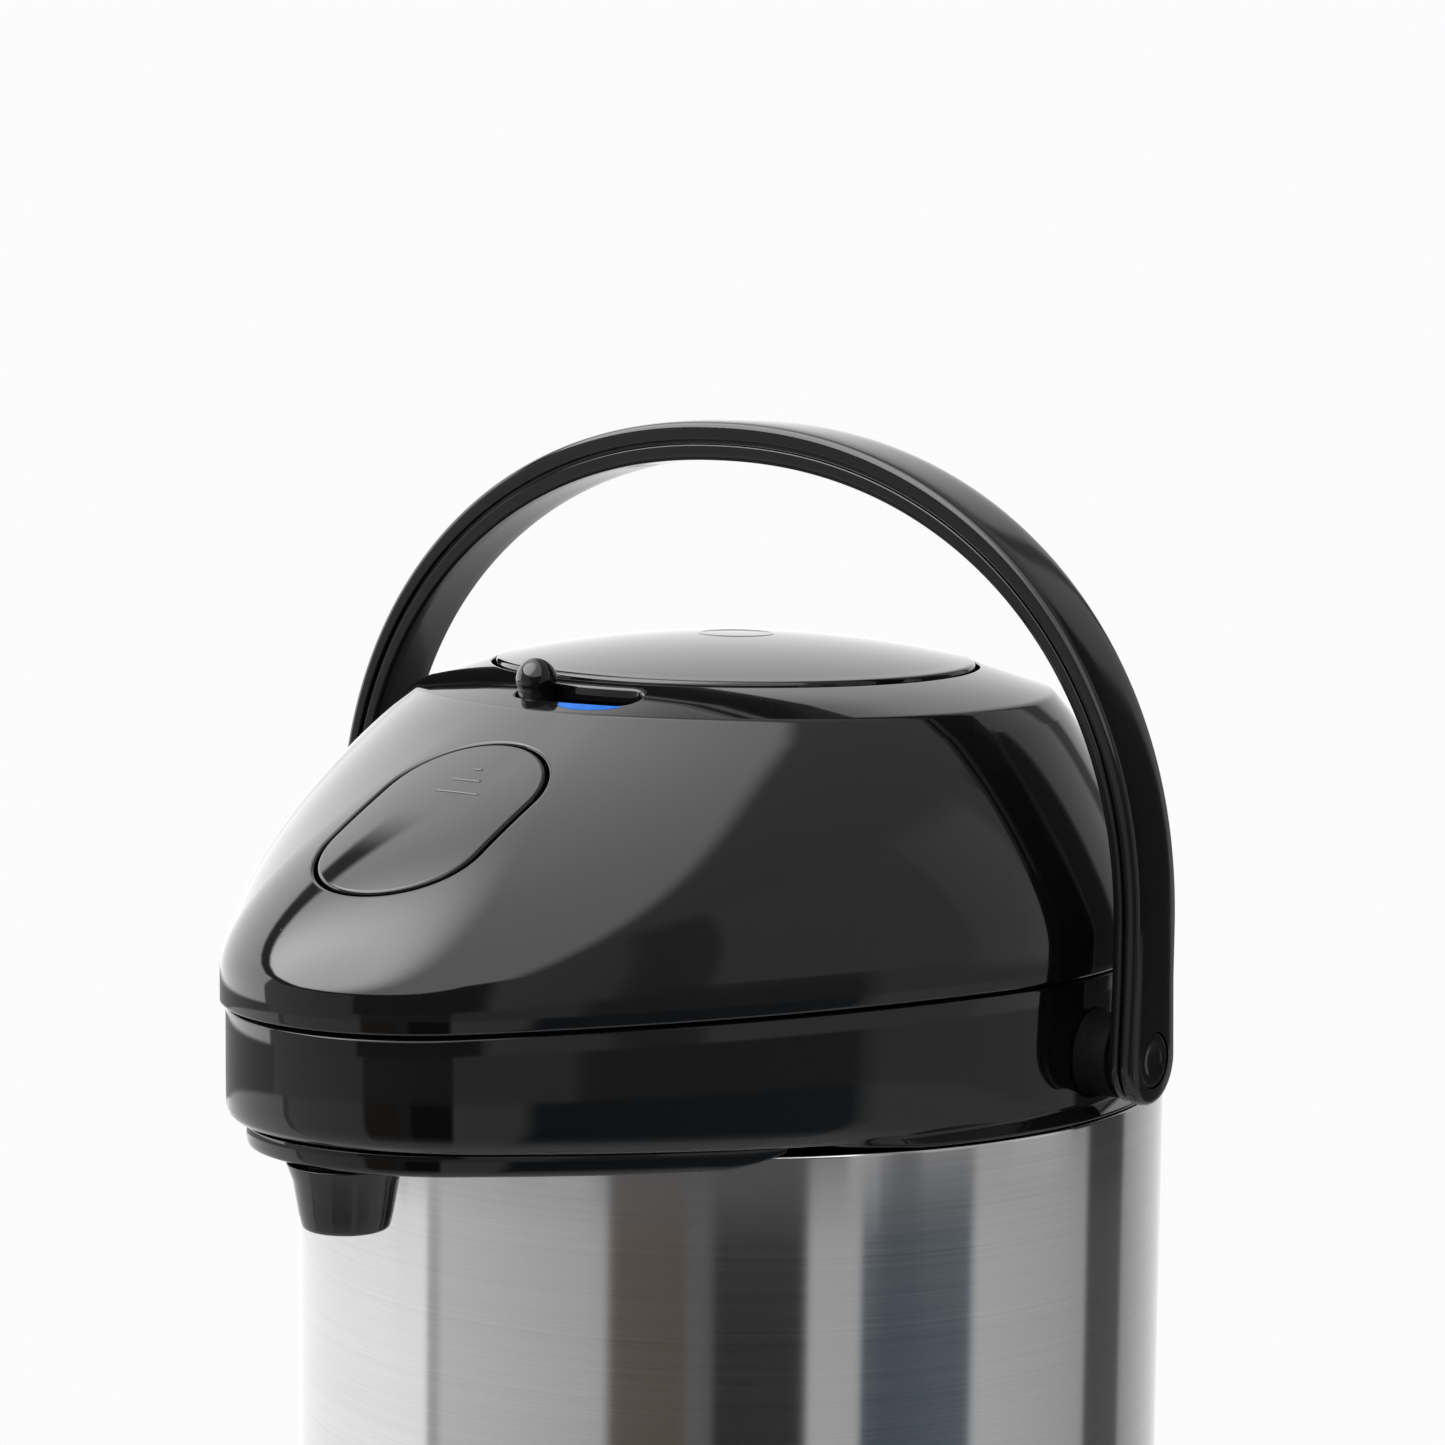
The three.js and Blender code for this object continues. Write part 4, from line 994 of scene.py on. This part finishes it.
def build_plate():
    """The push plate, with a shallow ring in its middle."""
    reach, skirt, inside = PLATE_R - 0.6, 352, 42.9
    ring_r, ring_height, ring_width = 6.8, 0.16, 0.42
    top = []
    for r in np.concatenate((np.linspace(0, 5.4, 6), np.linspace(5.7, 8.3, 14), np.linspace(9, reach, 26))):
        ring = ring_height * math.exp(-((r - ring_r) / ring_width) ** 2)
        top.append((r, PLATE_Z + 0.1 + PLATE_RISE * (1 - (r / reach) ** 2) + ring, 0))
    under = [(r, PLATE_Z - 3.6 + PLATE_RISE * (1 - (r / 42) ** 2), 0) for r in np.linspace(42, 0, 10)]
    corners = [*top[:-1], (PLATE_R - 0.05, PLATE_Z + 0.1, 0.8), (PLATE_R, skirt, 0.3), (inside, skirt, 0.3),
               (inside, 361.6, 0.3), *under]
    place(lathe("push_dome", corners, 224, closed=False), "push_plate")


def build_knob():
    middle = (SLOT_IN + SLOT_OUT) / 2
    x, y = middle * math.sin(LOCK_REST), -middle * math.cos(LOCK_REST)
    ball_r, ball_z = 3.7, 365.65
    corners = [(0, 354.3, 0), (3.0, 354.3, 0.3), (3.0, 358.6, 0.4), (3.3, 359.6, 0.4), (3.25, 362.6, 0.4)]
    for a in np.linspace(-0.48, math.pi / 2, 18):
        corners.append((ball_r * math.cos(a), ball_z + ball_r * math.sin(a), 0))
    corners[-1] = (0, corners[-1][1], 0)
    place(lathe("lock_stud", corners, 72, x, y, closed=False), "lock_knob")


def build_soft():
    """Copies of the bellows and springs, each riding with its node's body in place of the CAD piece."""
    for node, joint, fixed_end, travel in (
        ("pump_bellows", "pump_press", 0.3190, PUMP_TRAVEL),
        ("pump_spring", "pump_press", 0.3195, PUMP_TRAVEL),
        ("latch_spring", "latch_press", 0.3178, LATCH_TRAVEL),
    ):
        item = add_object(f"{node}_flexing", frame["nodes"][node].data.copy())
        place(item, node)
        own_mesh(item)


def paint_frame():
    """CAD pieces that stay as they are take their finish from the record's slots."""
    for name, item in frame["nodes"].items():
        for slot in item.material_slots:
            slot.material = MATERIALS[NODE_SLOTS[name]]


def add_floor():
    """A pale disc that fades out into the plain background."""
    turn = np.linspace(0, 2 * math.pi, 96, endpoint=False)
    points = np.array([[(r * math.cos(a), r * math.sin(a), 0) for a in turn] for r in range(0, 1001, 200)])
    floor = skin("floor", points, False, True)
    finish = Finish("pale_floor", Roughness=0.6, Specular_IOR_Level=0.05)
    finish.colour(finish.ramp(finish.noise(60, 2), (0.29, 0.29, 0.292), (0.32, 0.32, 0.321), 0, 1))
    tree = finish.tree
    length = tree.nodes.new("ShaderNodeVectorMath")
    length.operation = "LENGTH"
    fade = tree.nodes.new("ShaderNodeMapRange")
    fade.interpolation_type = "SMOOTHSTEP"
    fade.inputs["From Min"].default_value, fade.inputs["From Max"].default_value = FLOOR_FADE
    clear, mix = tree.nodes.new("ShaderNodeBsdfTransparent"), tree.nodes.new("ShaderNodeMixShader")
    link(tree, (finish.coords, length.inputs[0]), (length.outputs["Value"], fade.inputs["Value"]),
         (fade.outputs["Result"], mix.inputs[0]), (finish.shader.outputs[0], mix.inputs[1]),
         (clear.outputs[0], mix.inputs[2]), (mix.outputs[0], tree.nodes["Material Output"].inputs["Surface"]))
    floor.data.materials.append(finish.material)
    floor.location.z = -0.0004


add_camera()
add_world()
add_area("soft_box", (-0.9, -0.5, 1.3), (0, 0, 0.25), (0.9, 0.9), 3)
paint_frame()
build_body()
build_collar()
build_spout()
build_handle()
build_lid()
build_marker()
build_button()
build_plate()
build_knob()
build_soft()
add_floor()
bpy.context.scene.view_settings.view_transform = "Standard"
